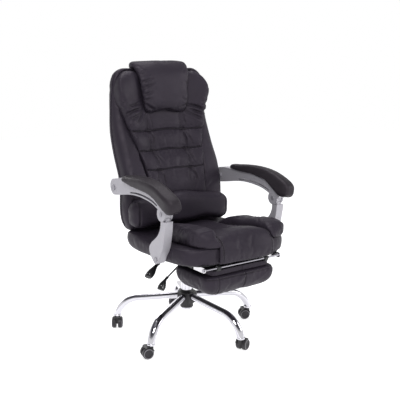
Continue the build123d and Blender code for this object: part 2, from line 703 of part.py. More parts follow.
def headrest():
    """Pillow in front of the top of the back, which drapes over its edge."""
    stations = ((968, 92, 172, 200, 10), (990, 108, 156, 225, 16), (1050, 120, 150, 235, 20), (1110, 131, 160, 240, 20),
                (1150, 139, 176, 246, 22), (1172, 138, 196, 246, 18), (1180, 126, 208, 236, 10))
    pillow = loft([level(z) * cushion_face(-half, half, front, rear, corner, belly=4)
                   for z, half, front, rear, corner in stations])
    return pillow


pillow = headrest()
for neighbour in (padded_back, wings):
    pillow = pillow - neighbour - Pos(0, -TOUCH, TOUCH) * neighbour - Pos(0, TOUCH, TOUCH) * neighbour
save("headrest_pillow", pillow.solids().sort_by(SortBy.VOLUME)[-1])


def lumbar():
    """Roll across the lower back, flat against the shell, with rounded ends."""
    stations = ((0, 8, 50, 506, 582, 16), (0.02, -3, 56, 492, 596, 24), (0.2, -13, 57, 488, 604, 32), (0.5, -18, 57, 484, 606, 34),
                (0.8, -13, 57, 488, 604, 32), (0.98, -3, 56, 492, 596, 24), (1, 8, 50, 506, 582, 16))
    return loft([lengthwise(roll_right + share * (roll_left - roll_right)) * cushion_face(front, rear, low, high, corner, side=2)
                 for share, front, rear, low, high, corner in stations])


save("lumbar_pillow", lumbar() - Pos(0, -TOUCH, 0) * padded_back - Pos(0, -TOUCH, 0) * quilt_bands[0])

# ---------------------------------------------------------------- armrests
arm_in, arm_out = arm_x - arm_width / 2, arm_x + arm_width / 2
frame_top = ((100, 703), (20, 704), (-60, 693), (-158, 686), (-222, 674), (-268, 650), (-306, 630))
frame_bottom = ((-300, 620), (-240, 634), (-213, 644), (-157, 655), (-95, 659), (-35, 656), (45, 643), (92, 636))


top_curve = Spline(*frame_top)
top_table = sorted((point.X, point.Y) for point in (top_curve @ (k / 40) for k in range(41)))
lip_rise = ((-298, 0.6), (-275, 6), (-215, 12), (-130, 13), (-45, 8), (20, 0.6))     # of the inner edge, along the arm


def inner_lip(gap, reach, depth):
    """Wedge along the frame's top that is highest at its inner side, so that the pad leans outward."""
    faces = []
    for y, rise in lip_rise:
        top = between(top_table, y)
        corners = ((arm_in - reach, top - depth), (arm_out - 2, top - depth), (arm_out - 2, top - 0.5 + gap),
                   (arm_in, top + rise + gap))
        if reach:
            corners += ((arm_in - reach, top + rise + gap),)
        faces.append(across(y) * make_face(Polyline(*corners, close=True)))
    return loft(faces, ruled=True)


def upper_arm():
    """Cast frame: round rear end, a long slot under the pad, and the two cheeks of the knuckle."""
    edges = [Spline(*frame_top), Line(frame_top[-1], frame_bottom[0]), Spline(*frame_bottom),
             ThreePointArc(frame_bottom[-1], (133, 667), frame_top[0])]
    outline = make_face(Wire(edges))
    outline += Pos(*knuckle) * Circle(knuckle_radius)
    slot_top = Spline((-32, 666), (-95, 672), (-157, 669), (-213, 658), (-238, 648))
    slot_low = Spline((-238, 642), (-213, 650), (-157, 661), (-95, 665), (-32, 661))
    slot = make_face(Wire([slot_top, Line((-238, 648), (-238, 642)), slot_low, Line((-32, 661), (-32, 666))]))
    frame = side_plate(outline - slot, arm_in, arm_out) + inner_lip(0, 0, 4)
    hole_y, hole_z = rear_pivot[0] + open_pivot_offset[0], rear_pivot[1] + open_pivot_offset[1]
    frame -= bar(pivot_pin + open_pivot_slack, arm_in - 5, arm_out + 5, hole_y, hole_z)
    frame -= bar(knuckle_radius + 0.6, arm_in + cheek, arm_out - cheek, *knuckle)
    return frame - bar(pivot_pin, arm_in - 5, arm_out + 5, *knuckle)


def lower_arm():
    """Cast leg of the armrest: a tongue between the cheeks, widening to an egg-shaped foot."""
    front = ((-292, 590), (-290, 562), (-285, 536), (-275, 492), (-254, 450), (-234, 422))
    rear = ((-206, 420), (-184, 442), (-176, 466), (-192, 492), (-230, 521), (-256, 556), (-262, 590))
    outline = make_face(Wire([Spline(*front), ThreePointArc(front[-1], (-220, 413), rear[0]), Spline(*rear),
                              Line(rear[-1], front[0])]))
    body = side_plate(outline, arm_in, arm_out)
    body -= bar(knuckle_radius + 0.8, arm_in - 5, arm_out + 5, *knuckle)
    inner = cheek + TOUCH
    neck = Polygon(knuckle, (-284.5, 604), (-287, 570), (-262, 570), (-254, 600), align=None)
    tongue = Pos(*knuckle) * Circle(knuckle_radius - 2) + neck
    body += side_plate(tongue, arm_in + inner, arm_out - inner)
    body -= bar(pivot_pin + RUNNING, arm_in - 5, arm_out + 5, *knuckle)
    return body - bar(pivot_pin + 1 + RUNNING, arm_in - 5, arm_out + 5, *foot_pivot)


def arm_pad():
    """Padded rest, round at both sides and at its nose, cut to lie on the frame's top."""
    stations = ((28, 703, 710, 18, 3), (18, 699, 718, 26, 8), (-10, 694, 725, pad_half_width, 13),
                (-71, 684, 732, pad_half_width, 14), (-194, 668, 731, pad_half_width, 14),
                (-250, 650, 720, pad_half_width, 15), (-290, 632, 706, pad_half_width, 15),
                (-325, 626, 691, 29, 15), (-343, 632, 680, 25, 13), (-353, 646, 667, 17, 8))
    pad = loft([across(y) * Pos(arm_x, low) * Rot(0, 0, -pad_lean) * Pos(-arm_x, -low)
                * cushion_face(arm_x - half, arm_x + half, low, high, corner, crown=2)
                for y, low, high, half, corner in stations])
    tip, rear = frame_top[-1], frame_top[0]
    room = make_face(Wire([Spline(*frame_top), Line(tip, (tip[0], 560)), Line((tip[0], 560), (rear[0], 560)),
                           Line((rear[0], 560), rear)]))
    pad -= side_plate(Pos(-TOUCH, TOUCH) * room, arm_x - 50, arm_x + 50)
    return pad - inner_lip(TOUCH, 32, 60) - bar(knuckle_radius + TOUCH, arm_x - 50, arm_x + 50, *knuckle)


def knuckle_pin():
    pin = bar(pivot_pin - RUNNING, arm_in - 1, arm_out + 1, *knuckle)
    for outer, head in ((arm_in, -1), (arm_out, 1)):
        pin += bar(8, outer + head * 0.2, outer + head * 2.5, *knuckle)
    return pin


for node, piece in (("upper_arm", upper_arm()), ("lower_arm", lower_arm()), ("arm_pad", arm_pad()),
                    ("knuckle_pin", knuckle_pin())):
    save(f"{node}_left", piece)
    save(f"{node}_right", mirrored(piece))

# ---------------------------------------------------------------- footrest
rail_low, rail_high = footrest_z - rail_height / 2, footrest_z + rail_height / 2
half_rail = rail_width / 2
rail_rear = guide_rear - 20


def guide():
    """C-shaped channel under the board, open below for the rail's fixing."""
    outer = block(rail_x - half_rail - 4, rail_x + half_rail + 4, guide_front, guide_rear, rail_low - 4, board_low)
    room = block(rail_x - half_rail - 0.2, rail_x + half_rail + 0.2, guide_front - 1, guide_rear - 3, rail_low - 0.2,
                 rail_high + 0.2)
    lip = block(rail_x - 3, rail_x + 3, guide_front - 1, guide_rear + 1, rail_low - 10, rail_low)
    return outer - room - lip


def rail():
    """Sliding bar with the upright tab that carries the crossbar."""
    body = block(rail_x - half_rail, rail_x + half_rail, footrest_y + 12, rail_rear, rail_low, rail_high)
    outline = Pos(footrest_y, footrest_z) * Circle(10)
    outline += Pos(footrest_y + (tab_length - 10) / 2, footrest_z) * Rectangle(tab_length - 10, 20)
    outline -= Pos(footrest_y, footrest_z) * Circle(crossbar_radius)
    return body + side_plate(outline, rail_x + half_rail - 1, rail_x + half_rail - 1 + tab_thickness)


left_guide, left_rail = guide(), rail()
save("footrest_guides", left_guide, mirrored(left_guide))
save("footrest_rails", left_rail, mirrored(left_rail))
bar_end = rail_x + half_rail + 6
crossbar = bar(crossbar_radius - 0.02, -bar_end, bar_end, footrest_y, footrest_z)
for x in (-1, 1):
    crossbar += bar(crossbar_radius + 2, x * (bar_end - 3.5), x * bar_end, footrest_y, footrest_z)
save("footrest_crossbar", crossbar)

pad_board_top = footrest_z - board_top_gap
pad_board_half = pad_half - 24


def footrest_bracket(x):
    """Loop round the crossbar with a foot on the pad's board."""
    outline = Pos(footrest_y, footrest_z) * Circle(crossbar_radius + 4)
    outline += Polygon((footrest_y - 4, footrest_z), (footrest_y - 4, pad_board_top), (footrest_y + 60, pad_board_top),
                       (footrest_y + 60, pad_board_top + 3), (footrest_y + 14, pad_board_top + 3),
                       (footrest_y + 8, footrest_z), align=None)
    outline -= Pos(footrest_y, footrest_z) * Circle(crossbar_radius + RUNNING)
    return side_plate(outline, x - 8, x + 8)


save("footrest_brackets", footrest_bracket(-118), footrest_bracket(118))

pad_board_outline = Rectangle(2 * pad_board_half, pad_rear - pad_front - 28)
pad_board_outline = fillet(pad_board_outline.vertices(), 22)
pad_middle = (pad_front + pad_rear) / 2
pad_board = extrude(Plane(origin=(0, pad_middle, pad_split + TOUCH)) * pad_board_outline,
                    pad_board_top - pad_split - TOUCH)
save("footrest_board", pad_board)


def footrest_cushion():
    """Pad that hangs under its board: flat above, crowned below, drawn in at the seams."""
    levels = ((pad_split, 10, 26), (pad_split - 9, 1, 34), (pad_split - 30, 0, 36), (pad_split - 54, 6, 38),
              (pad_low + 6, 18, 42), (pad_low, 46, 46))
    faces = []
    for z, inset, corner in levels:
        face = cushion_face(-pad_half + inset, pad_half - inset, pad_front + inset, pad_rear - inset, corner,
                            crown=1.5, belly=1.5, side=1.5)
        faces.append(level(z) * face)
    return loft(faces)


save("footrest_cushion", footrest_cushion())
print("armrest pivots", rear_pivot, knuckle, foot_pivot, "recline axis", (hinge_y, hinge_z))
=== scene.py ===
import json
import math

import bmesh
import bpy
import numpy as np
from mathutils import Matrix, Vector
from mathutils.bvhtree import BVHTree


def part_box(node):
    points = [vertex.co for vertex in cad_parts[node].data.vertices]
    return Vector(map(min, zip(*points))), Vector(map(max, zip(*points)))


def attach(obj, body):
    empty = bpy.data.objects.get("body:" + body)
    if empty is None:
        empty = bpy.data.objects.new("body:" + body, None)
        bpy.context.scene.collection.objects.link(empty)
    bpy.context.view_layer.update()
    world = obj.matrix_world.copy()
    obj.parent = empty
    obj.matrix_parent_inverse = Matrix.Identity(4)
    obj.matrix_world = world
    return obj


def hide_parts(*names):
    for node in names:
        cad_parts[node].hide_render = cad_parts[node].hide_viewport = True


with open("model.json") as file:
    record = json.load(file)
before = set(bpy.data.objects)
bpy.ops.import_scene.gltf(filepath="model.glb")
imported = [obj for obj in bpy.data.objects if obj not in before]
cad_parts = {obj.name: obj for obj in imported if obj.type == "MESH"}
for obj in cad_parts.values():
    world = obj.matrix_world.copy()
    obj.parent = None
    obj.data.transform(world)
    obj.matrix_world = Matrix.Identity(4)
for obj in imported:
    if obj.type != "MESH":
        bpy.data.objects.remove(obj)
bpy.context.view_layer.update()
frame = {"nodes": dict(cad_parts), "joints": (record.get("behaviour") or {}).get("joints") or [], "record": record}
nodes = frame["nodes"]
scene = bpy.context.scene
SIDES = (("left", 1), ("right", -1))     # the sitter's left is +X
# painted shade: this mesh attribute, 0 to 1, darkens the leather's colour down in seams and folds
SEAM_SHADE = "sewn"                            # how far each point lies down in a seam, 0 to 1
UP, DOWN, FRONT, REAR = (0, 0, 1), (0, 0, -1), (0, -1, 0), (0, 1, 0)
PLAN, FACE = (0, 1), (0, 2)              # lines drawn as (x, y) or as (x, z)
UPRIGHT = Vector(UP)
ASKEW = Vector((0.31, 0.2, 0.93))        # no cord or thread runs along this

# ------------------------------------------------------------------ materials


def new_material(name):
    material = bpy.data.materials.new(name)
    material.use_nodes = True
    tree = material.node_tree
    return material, tree, tree.nodes["Principled BSDF"]


def object_coords(tree):
    return tree.nodes.new("ShaderNodeTexCoord").outputs["Object"]


def noise(tree, at, scale, detail=3.0, rough=0.55, distortion=0.0):
    node = tree.nodes.new("ShaderNodeTexNoise")
    node.inputs["Scale"].default_value = scale
    node.inputs["Detail"].default_value = detail
    node.inputs["Roughness"].default_value = rough
    node.inputs["Distortion"].default_value = distortion
    tree.links.new(at, node.inputs["Vector"])
    return node.outputs["Fac"]


def cells(tree, at, scale):
    """Distance to the walls between scattered cells."""
    node = tree.nodes.new("ShaderNodeTexVoronoi")
    node.feature = "DISTANCE_TO_EDGE"
    node.inputs["Scale"].default_value = scale
    tree.links.new(at, node.inputs["Vector"])
    return node.outputs["Distance"]


def remap(tree, value, low, high, to_low, to_high):
    node = tree.nodes.new("ShaderNodeMapRange")
    for key, number in (("From Min", low), ("From Max", high), ("To Min", to_low), ("To Max", to_high)):
        node.inputs[key].default_value = number
    tree.links.new(value, node.inputs["Value"])
    return node.outputs["Result"]


def ramp(tree, value, stops):
    node = tree.nodes.new("ShaderNodeValToRGB")
    elements = node.color_ramp.elements
    while len(elements) < len(stops):
        elements.new(0.5)
    for element, (place, colour) in zip(elements, stops):
        element.position = place
        element.color = (*colour, 1)
    tree.links.new(value, node.inputs["Fac"])
    return node.outputs["Color"]


def bump(tree, height, strength, distance, below=None):
    node = tree.nodes.new("ShaderNodeBump")
    node.inputs["Strength"].default_value = strength
    node.inputs["Distance"].default_value = distance
    tree.links.new(height, node.inputs["Height"])
    if below is not None:
        tree.links.new(below, node.inputs["Normal"])
    return node.outputs["Normal"]


def shade(colour, factor):
    return tuple(channel * factor for channel in colour)


def stretched(tree, scale):
    """Object coordinates scaled by its own factor on each axis."""
    mapping = tree.nodes.new("ShaderNodeMapping")
    mapping.inputs["Scale"].default_value = scale
    tree.links.new(object_coords(tree), mapping.inputs["Vector"])
    return mapping.outputs["Vector"]


def tint(tree, skin, value, dark, light, low=0.3, high=0.7):
    """Base colour from dark to light as value goes from low to high."""
    tree.links.new(ramp(tree, value, ((low, dark), (high, light))), skin.inputs["Base Color"])


def polish(tree, skin, value, rough, low=0.3, high=0.7):
    """Roughness from the first to the second of rough as value goes from low to high."""
    tree.links.new(remap(tree, value, low, high, *rough), skin.inputs["Roughness"])


def leather(name, colour, rough=(0.46, 0.58), grain=850.0, crease=0.16):
    """Soft coated leather: pebbled grain, fine creases and uneven polish, with painted shade down in its seams and
    folds.
    """
    material, tree, skin = new_material(name)
    at = object_coords(tree)
    tone = noise(tree, at, 9.0, 4.0)
    sewn = tree.nodes.new("ShaderNodeAttribute")
    sewn.attribute_name = SEAM_SHADE
    darker = tree.nodes.new("ShaderNodeMix")
    darker.data_type = "RGBA"
    tree.links.new(sewn.outputs["Fac"], darker.inputs["Factor"])
    open_face = ramp(tree, tone, ((0.3, shade(colour, 0.88)), (0.7, shade(colour, 1.12))))
    tree.links.new(open_face, darker.inputs["A"])
    # painted shade: the colour down in seams and folds, where shade falls
    darker.inputs["B"].default_value = (*shade(colour, 0.12), 1)
    tree.links.new(darker.outputs["Result"], skin.inputs["Base Color"])
    polish(tree, skin, noise(tree, at, 35.0, 3.0), rough)
    creases = bump(tree, noise(tree, at, 42.0, 5.0, 0.6, 1.6), crease, 0.0025)
    pebbles = bump(tree, cells(tree, at, grain), 0.22, 0.0005, creases)
    fine = bump(tree, noise(tree, at, grain * 1.7, 2.0), 0.12, 0.0003, pebbles)
    tree.links.new(fine, skin.inputs["Normal"])
    skin.inputs["Specular IOR Level"].default_value = 0.26
    skin.inputs["Specular Tint"].default_value = (1.0, 0.9, 1.0, 1)
    return material


def chrome(name, colour=(0.65, 0.64, 0.68), rough=(0.05, 0.11)):
    material, tree, skin = new_material(name)
    at = object_coords(tree)
    tint(tree, skin, noise(tree, at, 14.0, 3.0), shade(colour, 0.93), colour, 0.35, 0.65)
    polish(tree, skin, noise(tree, at, 60.0, 4.0), rough, 0.35, 0.7)
    skin.inputs["Metallic"].default_value = 1.0
    return material


def steel(name, colour, rough=(0.22, 0.36), stretch=(12.0, 240.0, 240.0)):
    """Brushed or turned steel with fine lines."""
    material, tree, skin = new_material(name)
    lines = noise(tree, stretched(tree, stretch), 3.0, 4.0)
    tint(tree, skin, lines, shade(colour, 0.85), colour)
    polish(tree, skin, lines, rough)
    tree.links.new(bump(tree, lines, 0.08, 0.0002), skin.inputs["Normal"])
    skin.inputs["Metallic"].default_value = 1.0
    return material


def paint(name, colour, rough=(0.38, 0.5), metallic=0.0, speck=2600.0, peel=0.1):
    """Sprayed or powder coat: fine specks, slight orange peel."""
    material, tree, skin = new_material(name)
    at = object_coords(tree)
    tint(tree, skin, noise(tree, at, speck, 2.0), shade(colour, 0.9), shade(colour, 1.08))
    polish(tree, skin, noise(tree, at, 28.0, 3.0), rough)
    tree.links.new(bump(tree, noise(tree, at, 520.0, 3.0), peel, 0.0003), skin.inputs["Normal"])
    skin.inputs["Metallic"].default_value = metallic
    return material


def moulded(name, colour, rough=(0.36, 0.48), grain=1400.0, depth=0.14):
    """Moulded plastic with spark-eroded texture."""
    material, tree, skin = new_material(name)
    at = object_coords(tree)
    tint(tree, skin, noise(tree, at, 22.0, 3.0), shade(colour, 0.8), shade(colour, 1.2))
    polish(tree, skin, noise(tree, at, 48.0, 3.0), rough)
    tree.links.new(bump(tree, noise(tree, at, grain, 2.0), depth, 0.0003), skin.inputs["Normal"])
    return material


def plywood(name):
    material, tree, skin = new_material(name)
    figure = noise(tree, stretched(tree, (3.0, 26.0, 160.0)), 2.2, 5.0, 0.6, 0.8)
    tint(tree, skin, figure, (0.33, 0.22, 0.12), (0.5, 0.37, 0.22))
    tree.links.new(bump(tree, figure, 0.2, 0.0004), skin.inputs["Normal"])
    skin.inputs["Roughness"].default_value = 0.7
    return material


def bottom_cloth(name):
    """Thin black non-woven cloth that closes the underside."""
    material, tree, skin = new_material(name)
    at = object_coords(tree)
    tint(tree, skin, noise(tree, at, 900.0, 3.0), (0.008, 0.008, 0.009), (0.022, 0.022, 0.024))
    tree.links.new(bump(tree, cells(tree, at, 420.0), 0.5, 0.0005), skin.inputs["Normal"])
    skin.inputs["Roughness"].default_value = 0.85
    return material


LEATHER = (0.0235, 0.0190, 0.0275)
looks = {
    "black_leather": leather("black_leather", LEATHER),
    "arm_pad": leather("arm_pad_skin", (0.0225, 0.0190, 0.0230), (0.46, 0.56), 1100.0, 0.05),
    "chrome": chrome("chrome"),
    "bright_steel": steel("bright_steel", (0.72, 0.71, 0.73)),
    "black_steel": paint("black_steel", (0.010, 0.010, 0.011), (0.34, 0.46)),
    "arm_silver": paint("arm_silver", (0.50, 0.485, 0.52), (0.42, 0.52), 0.35, 3200.0, 0.06),
    "black_plastic": moulded("black_plastic", (0.013, 0.011, 0.014)),
    "wheel_nylon": moulded("wheel_nylon", (0.021, 0.018, 0.023), (0.38, 0.5)),
    "lever_plastic": moulded("lever_plastic", (0.014, 0.014, 0.015), (0.32, 0.42)),
    "plywood": plywood("plywood"),
}
cloth_below = bottom_cloth("bottom_cloth")
thread_look = moulded("thread", (0.030, 0.028, 0.033), (0.45, 0.6), 3000.0, 0.3)
rim_look = moulded("rim_grey", (0.30, 0.29, 0.31), (0.35, 0.45))
# the pins in silver paint like the arms, their own look, made darker as painted shade round each pin
pin_painted_shade = paint("pin_silver_painted_shade", (0.36, 0.35, 0.38), (0.36, 0.46), 0.5, 3200.0, 0.04)
# painted shade: a darker copy of chrome for the footrest crossbar, standing in for the dark it reflects
chrome_painted_shade = chrome("chrome_painted_shade", (0.34, 0.33, 0.36), (0.10, 0.18))
PINS = ("arm_foot_pins", "arm_pivot_pins", "knuckle_pin_left", "knuckle_pin_right")
own_look = {"seat_board": cloth_below, "footrest_crossbar": chrome_painted_shade, **dict.fromkeys(PINS, pin_painted_shade)}

slots = {entry["node"]: entry["material_slot"] for entry in frame["record"]["subparts"]}
for name, node in nodes.items():
    node.data.materials.clear()
    node.data.materials.append(own_look.get(name) or looks[slots[name]])

# ------------------------------------------------------------------ mesh helpers


def coords(mesh):
    flat = np.empty(len(mesh.vertices) * 3)
    mesh.vertices.foreach_get("co", flat)
    return flat.reshape(-1, 3)


def set_coords(mesh, points):
    mesh.vertices.foreach_set("co", np.ascontiguousarray(points, dtype=np.float64).ravel())
    mesh.update()


def normals(mesh):
    flat = np.empty(len(mesh.vertices) * 3)
    mesh.vertex_normals.foreach_get("vector", flat)
    return flat.reshape(-1, 3)


def link(name, mesh, look, body):
    piece = bpy.data.objects.new(name, mesh)
    scene.collection.objects.link(piece)
    mesh.materials.clear()
    mesh.materials.append(look)
    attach(piece, body)
    return piece


def smooth_shaded(mesh):
    mesh.polygons.foreach_set("use_smooth", [True] * len(mesh.polygons))
    mesh.update()


def remeshed(node, voxel):
    """A copy of a CAD node's mesh in even small faces."""
    mesh = nodes[node].data.copy()
    work = bpy.data.objects.new("work", mesh)
    scene.collection.objects.link(work)
    modifier = work.modifiers.new("even", "REMESH")
    modifier.mode = "VOXEL"
    modifier.voxel_size = voxel
    modifier.use_smooth_shade = True
    graph = bpy.context.evaluated_depsgraph_get()
    even = bpy.data.meshes.new_from_object(work.evaluated_get(graph))
    bpy.data.objects.remove(work)
    return even


def inflate(mesh, pressure, cap, pinned, slack, frames=20):
    """Blow the cover up as cloth around its pinned points, which moves no point by more than cap."""
    work = bpy.data.objects.new("work", mesh)
    scene.collection.objects.link(work)
    rest = coords(mesh)
    group = work.vertex_groups.new(name="pin")
    group.add([int(k) for k in np.nonzero(pinned(rest))[0]], 1.0, "REPLACE")
    cloth = work.modifiers.new("blow", "CLOTH")
    cloth.point_cache.frame_start = 1
    cloth.point_cache.frame_end = frames
    settings = cloth.settings
    settings.quality = 4
    settings.use_pressure = True
    settings.uniform_pressure_force = pressure
    settings.effector_weights.gravity = 0.0
    settings.vertex_group_mass = "pin"
    settings.shrink_min = -slack
    settings.bending_stiffness = 0.4
    cloth.collision_settings.use_collision = False
    for k in range(1, frames + 1):
        scene.frame_set(k)
    graph = bpy.context.evaluated_depsgraph_get()
    moved = coords(work.evaluated_get(graph).data)
    work.modifiers.remove(cloth)
    work.vertex_groups.clear()
    scene.frame_set(1)
    bpy.data.objects.remove(work)
    step = moved - rest
    length = np.linalg.norm(step, axis=1, keepdims=True) + 1e-9
    set_coords(mesh, rest + step / length * cap * np.tanh(length / cap))


def relax(mesh, times):
    """Average each point with its neighbours."""
    pairs = np.empty(len(mesh.edges) * 2, dtype=np.int64)
    mesh.edges.foreach_get("vertices", pairs)
    a, b = pairs.reshape(-1, 2).T
    points = coords(mesh)
    count = np.bincount(np.concatenate((a, b)), minlength=len(points)).clip(1)[:, None]
    for _ in range(times):
        total = np.zeros_like(points)
        for axis in range(3):
            total[:, axis] = (np.bincount(a, points[b, axis], len(points))
                              + np.bincount(b, points[a, axis], len(points)))
        points = total / count
    set_coords(mesh, points)


def along(points, path, axes):
    """Distance of each point to a bent line seen along one axis, the place along it, and its length."""
    flat = points[:, axes]
    best = np.full(len(points), 1e9)
    place = np.zeros(len(points))
    done = 0.0
    for a, b in zip(path, path[1:]):
        a, b = np.array(a), np.array(b)
        run = b - a
        length = np.linalg.norm(run)
        t = np.clip((flat - a) @ run / length ** 2, 0, 1)
        gap = np.linalg.norm(flat - a - t[:, None] * run, axis=1)
        nearer = gap < best
        best = np.where(nearer, gap, best)
        place = np.where(nearer, done + t * length, place)
        done += length
    return best, place, done


def fold(mesh, path, depth, width, axes=FACE, facing=FRONT, ridge=0.45, taper=True, sewn=0.0):
    """Press a crease into the faces that look along facing, with a soft ridge on each side; with sewn, it also
    stores painted shade for the crease's bottom.
    """
    points, out = coords(mesh), normals(mesh)
    gap, place, total = along(points, path, list(axes))
    groove = np.exp(-(gap / width) ** 2)
    shape = -groove + ridge * np.exp(-((gap - 2.1 * width) / (1.2 * width)) ** 2)
    fade = np.sin(np.clip(place / total, 0.02, 0.98) * math.pi) ** 0.6 if taper else 1.0
    side = np.clip((out @ np.array(facing)) * 2.5 - 0.4, 0, 1)
    set_coords(mesh, points + out * (depth * shape * fade * side)[:, None])
    # painted shade: how far the leather's colour darkens down in this groove
    if sewn:
        layer = mesh.attributes.get(SEAM_SHADE) or mesh.attributes.new(SEAM_SHADE, "FLOAT", "POINT")
        before = np.empty(len(points))
        layer.data.foreach_get("value", before)
        layer.data.foreach_set("value", np.maximum(before, sewn * groove * side * fade))


def seam(mesh, path, depth=0.0040, width=0.0026, axes=FACE, facing=FRONT, sewn=0.9):
    """A sewn line: a narrow groove with hardly any ridge and painted shade at its bottom."""
    fold(mesh, path, depth, width, axes, facing, 0.12, False, sewn)


def swell(mesh, centre, size, push):
    """Move the points about centre along push, most in the middle and nothing beyond size."""
    points = coords(mesh)
    away = ((points - np.array(centre)) / np.array(size)) ** 2
    set_coords(mesh, points + np.array(push) * np.exp(-2.0 * away.sum(axis=1))[:, None])


def gathers(mesh, path, depth, reach, pitch, axes=FACE, facing=FRONT, seed=1):
    """Small pleats that run away from a sewn edge and die out over reach."""
    points, out = coords(mesh), normals(mesh)
    gap, place, total = along(points, path, list(axes))
    rng = np.random.default_rng(seed)
    knots = np.arange(0, total + pitch, pitch)
    height = rng.uniform(-1, 1, len(knots))
    tilt = rng.uniform(-0.25, 0.25, len(knots))
    spread = np.interp(place, knots, tilt)
    wave = np.interp(place + spread * gap, knots, height)
    reaches = reach * np.interp(place, knots, rng.uniform(0.5, 1.2, len(knots)))
    side = np.clip((out @ np.array(facing)) * 2.5 - 0.2, 0, 1)
    shape = wave * np.exp(-gap / reaches) * np.clip(gap / 0.006, 0.2, 1)
    set_coords(mesh, points + out * (depth * shape * side)[:, None])


LUMP_WAVES, LUMP_PEAK = 10, 3.2      # how many waves are summed, and about how high their sum gets


def lumps(mesh, depth, size, seed):
    """Broad unevenness of stuffing, from a few seeded waves."""
    points, out = coords(mesh), normals(mesh)
    rng = np.random.default_rng(seed)
    total = np.zeros(len(points))
    for _ in range(LUMP_WAVES):
        way = rng.normal(size=3)
        way *= rng.uniform(0.6, 1.5) / size / np.linalg.norm(way)
        total += np.sin(points @ way * 2 * math.pi + rng.uniform(0, 6.3))
    total *= depth / LUMP_PEAK
    set_coords(mesh, points + out * total[:, None])


def finer(mesh):
    """The same mesh with every face cut in four and smoothed, so that narrow seams can be pressed in."""
    work = bpy.data.objects.new("work", mesh)
    scene.collection.objects.link(work)
    modifier = work.modifiers.new("finer", "SUBSURF")
    modifier.levels = 1
    graph = bpy.context.evaluated_depsgraph_get()
    fine = bpy.data.meshes.new_from_object(work.evaluated_get(graph))
    bpy.data.objects.remove(work)
    bpy.data.meshes.remove(mesh)
    return fine


def soft(node, body, name, voxel, pressure=0.0, cap=0.0, pinned=None, slack=0.02, shape=(), work=(),
         look="black_leather"):
    """A stuffed piece in place of its CAD solid.

    It is remeshed at voxel, cut to its own outline by the steps of shape, blown up as cloth, and given its
    seams and folds by the steps of work.
    """
    mesh = remeshed(node, voxel)
    relax(mesh, 2)
    for step in shape:
        step(mesh)
    if pressure:
        inflate(mesh, pressure, cap, pinned, slack)
    mesh = finer(mesh)
    for step in work:
        step(mesh)
    relax(mesh, 1)
    smooth_shaded(mesh)
    piece = link(name, mesh, looks[look], body)
    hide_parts(node)
    return piece


def surface_of(piece):
    graph = bpy.context.evaluated_depsgraph_get()
    return BVHTree.FromObject(piece, graph)


def laid_on(tree, points, way, lift=0.0):
    """Points dropped along way on to a surface."""
    hits = []
    way = Vector(way)
    for point in points:
        hit, normal, _, _ = tree.ray_cast(Vector(point) - way * 0.5, way)
        if hit is not None:
            hits.append(hit + normal * lift)
    return hits


def dense(points, step):
    """Even points along a bent line."""
    out = []
    for a, b in zip(points, points[1:]):
        a, b = Vector(a), Vector(b)
        count = max(1, int((b - a).length / step))
        out += [a.lerp(b, k / count) for k in range(count)]
    return out + [Vector(points[-1])]


def rounded_path(points, times=3):
    """Corner-cutting: a smooth line through a few points."""
    line = [Vector(p) for p in points]
    for _ in range(times):
        cut = [line[0]]
        for a, b in zip(line, line[1:]):
            cut += [a.lerp(b, 0.25), a.lerp(b, 0.75)]
        line = cut + [line[-1]]
    return line

def across(way):
    """Two directions square to way and to each other."""
    side = way.cross(ASKEW).normalized()
    return side, way.cross(side)


def circle(centre, side, up, radius, count):
    return [centre + (side * math.cos(t) + up * math.sin(t)) * radius
            for t in (2 * math.pi * k / count for k in range(count))]


def skinned(work, rings, closed):
    """Faces between rings of points, with end faces unless the rings close on themselves."""
    pairs = zip(rings, rings[1:] + rings[:1]) if closed else zip(rings, rings[1:])
    for first, second in pairs:
        sides = len(first)
        for s in range(sides):
            work.faces.new((first[s], first[(s + 1) % sides], second[(s + 1) % sides], second[s]))
    if not closed:
        work.faces.new(rings[0])
        work.faces.new(reversed(rings[-1]))


def finished(work, name):
    """The mesh of a bmesh, smooth and with its faces outwards."""
    mesh = bpy.data.meshes.new(name)
    bmesh.ops.recalc_face_normals(work, faces=work.faces)
    work.to_mesh(mesh)
    work.free()
    smooth_shaded(mesh)
    return mesh


def tube(name, points, radius, look, body, closed=False, sides=8):
    """A thin round cord along points, as a mesh."""
    work = bmesh.new()
    rings = []
    count = len(points)
    for k, point in enumerate(points):
        ahead = points[(k + 1) % count] if closed else points[min(k + 1, count - 1)]
        behind = points[k - 1] if closed or k else points[0]
        side, up = across((ahead - behind).normalized())
        rings.append([work.verts.new(spot) for spot in circle(point, side, up, radius, sides)])
    skinned(work, rings, closed)
    return link(name, finished(work, name), look, body)


def stitches(name, points, body, length=0.0055, gap=0.0025, radius=0.0007):
    """A row of separate thread stitches along points."""
    spans = []
    travelled, start = 0.0, points[0]
    for a, b in zip(points, points[1:]):
        travelled += (b - a).length
        if travelled >= length:
            spans.append((start, b))
            travelled = -gap
            start = None
        elif travelled >= 0 and start is None:
            start = a
        if travelled < 0:
            start = None
    work = bmesh.new()
    for a, b in spans:
        if a is None or (b - a).length < 1e-4:
            continue
        side, up = across((b - a).normalized())
        rings = [[work.verts.new(spot) for spot in circle(a.lerp(b, t), side, up, radius * share, 6)]
                 for t, share in ((0.0, 0.35), (0.2, 1.0), (0.8, 1.0), (1.0, 0.35))]
        skinned(work, rings, False)
    return link(name, finished(work, name), thread_look, body)


# ------------------------------------------------------------------ seat
SEAT_REAR, SEAT_FRONT, SEAT_REAR_TOP, SEAT_RISE = 0.074, -0.396, 0.458, 0.033
CUSHION_FOOT = 0.428       # below this the seat's covers stay put


def seat_top(y):
    """Height of the lower cushion's top, which rises to the front."""
    return SEAT_REAR_TOP + SEAT_RISE * (SEAT_REAR - y) / (SEAT_REAR - SEAT_FRONT)


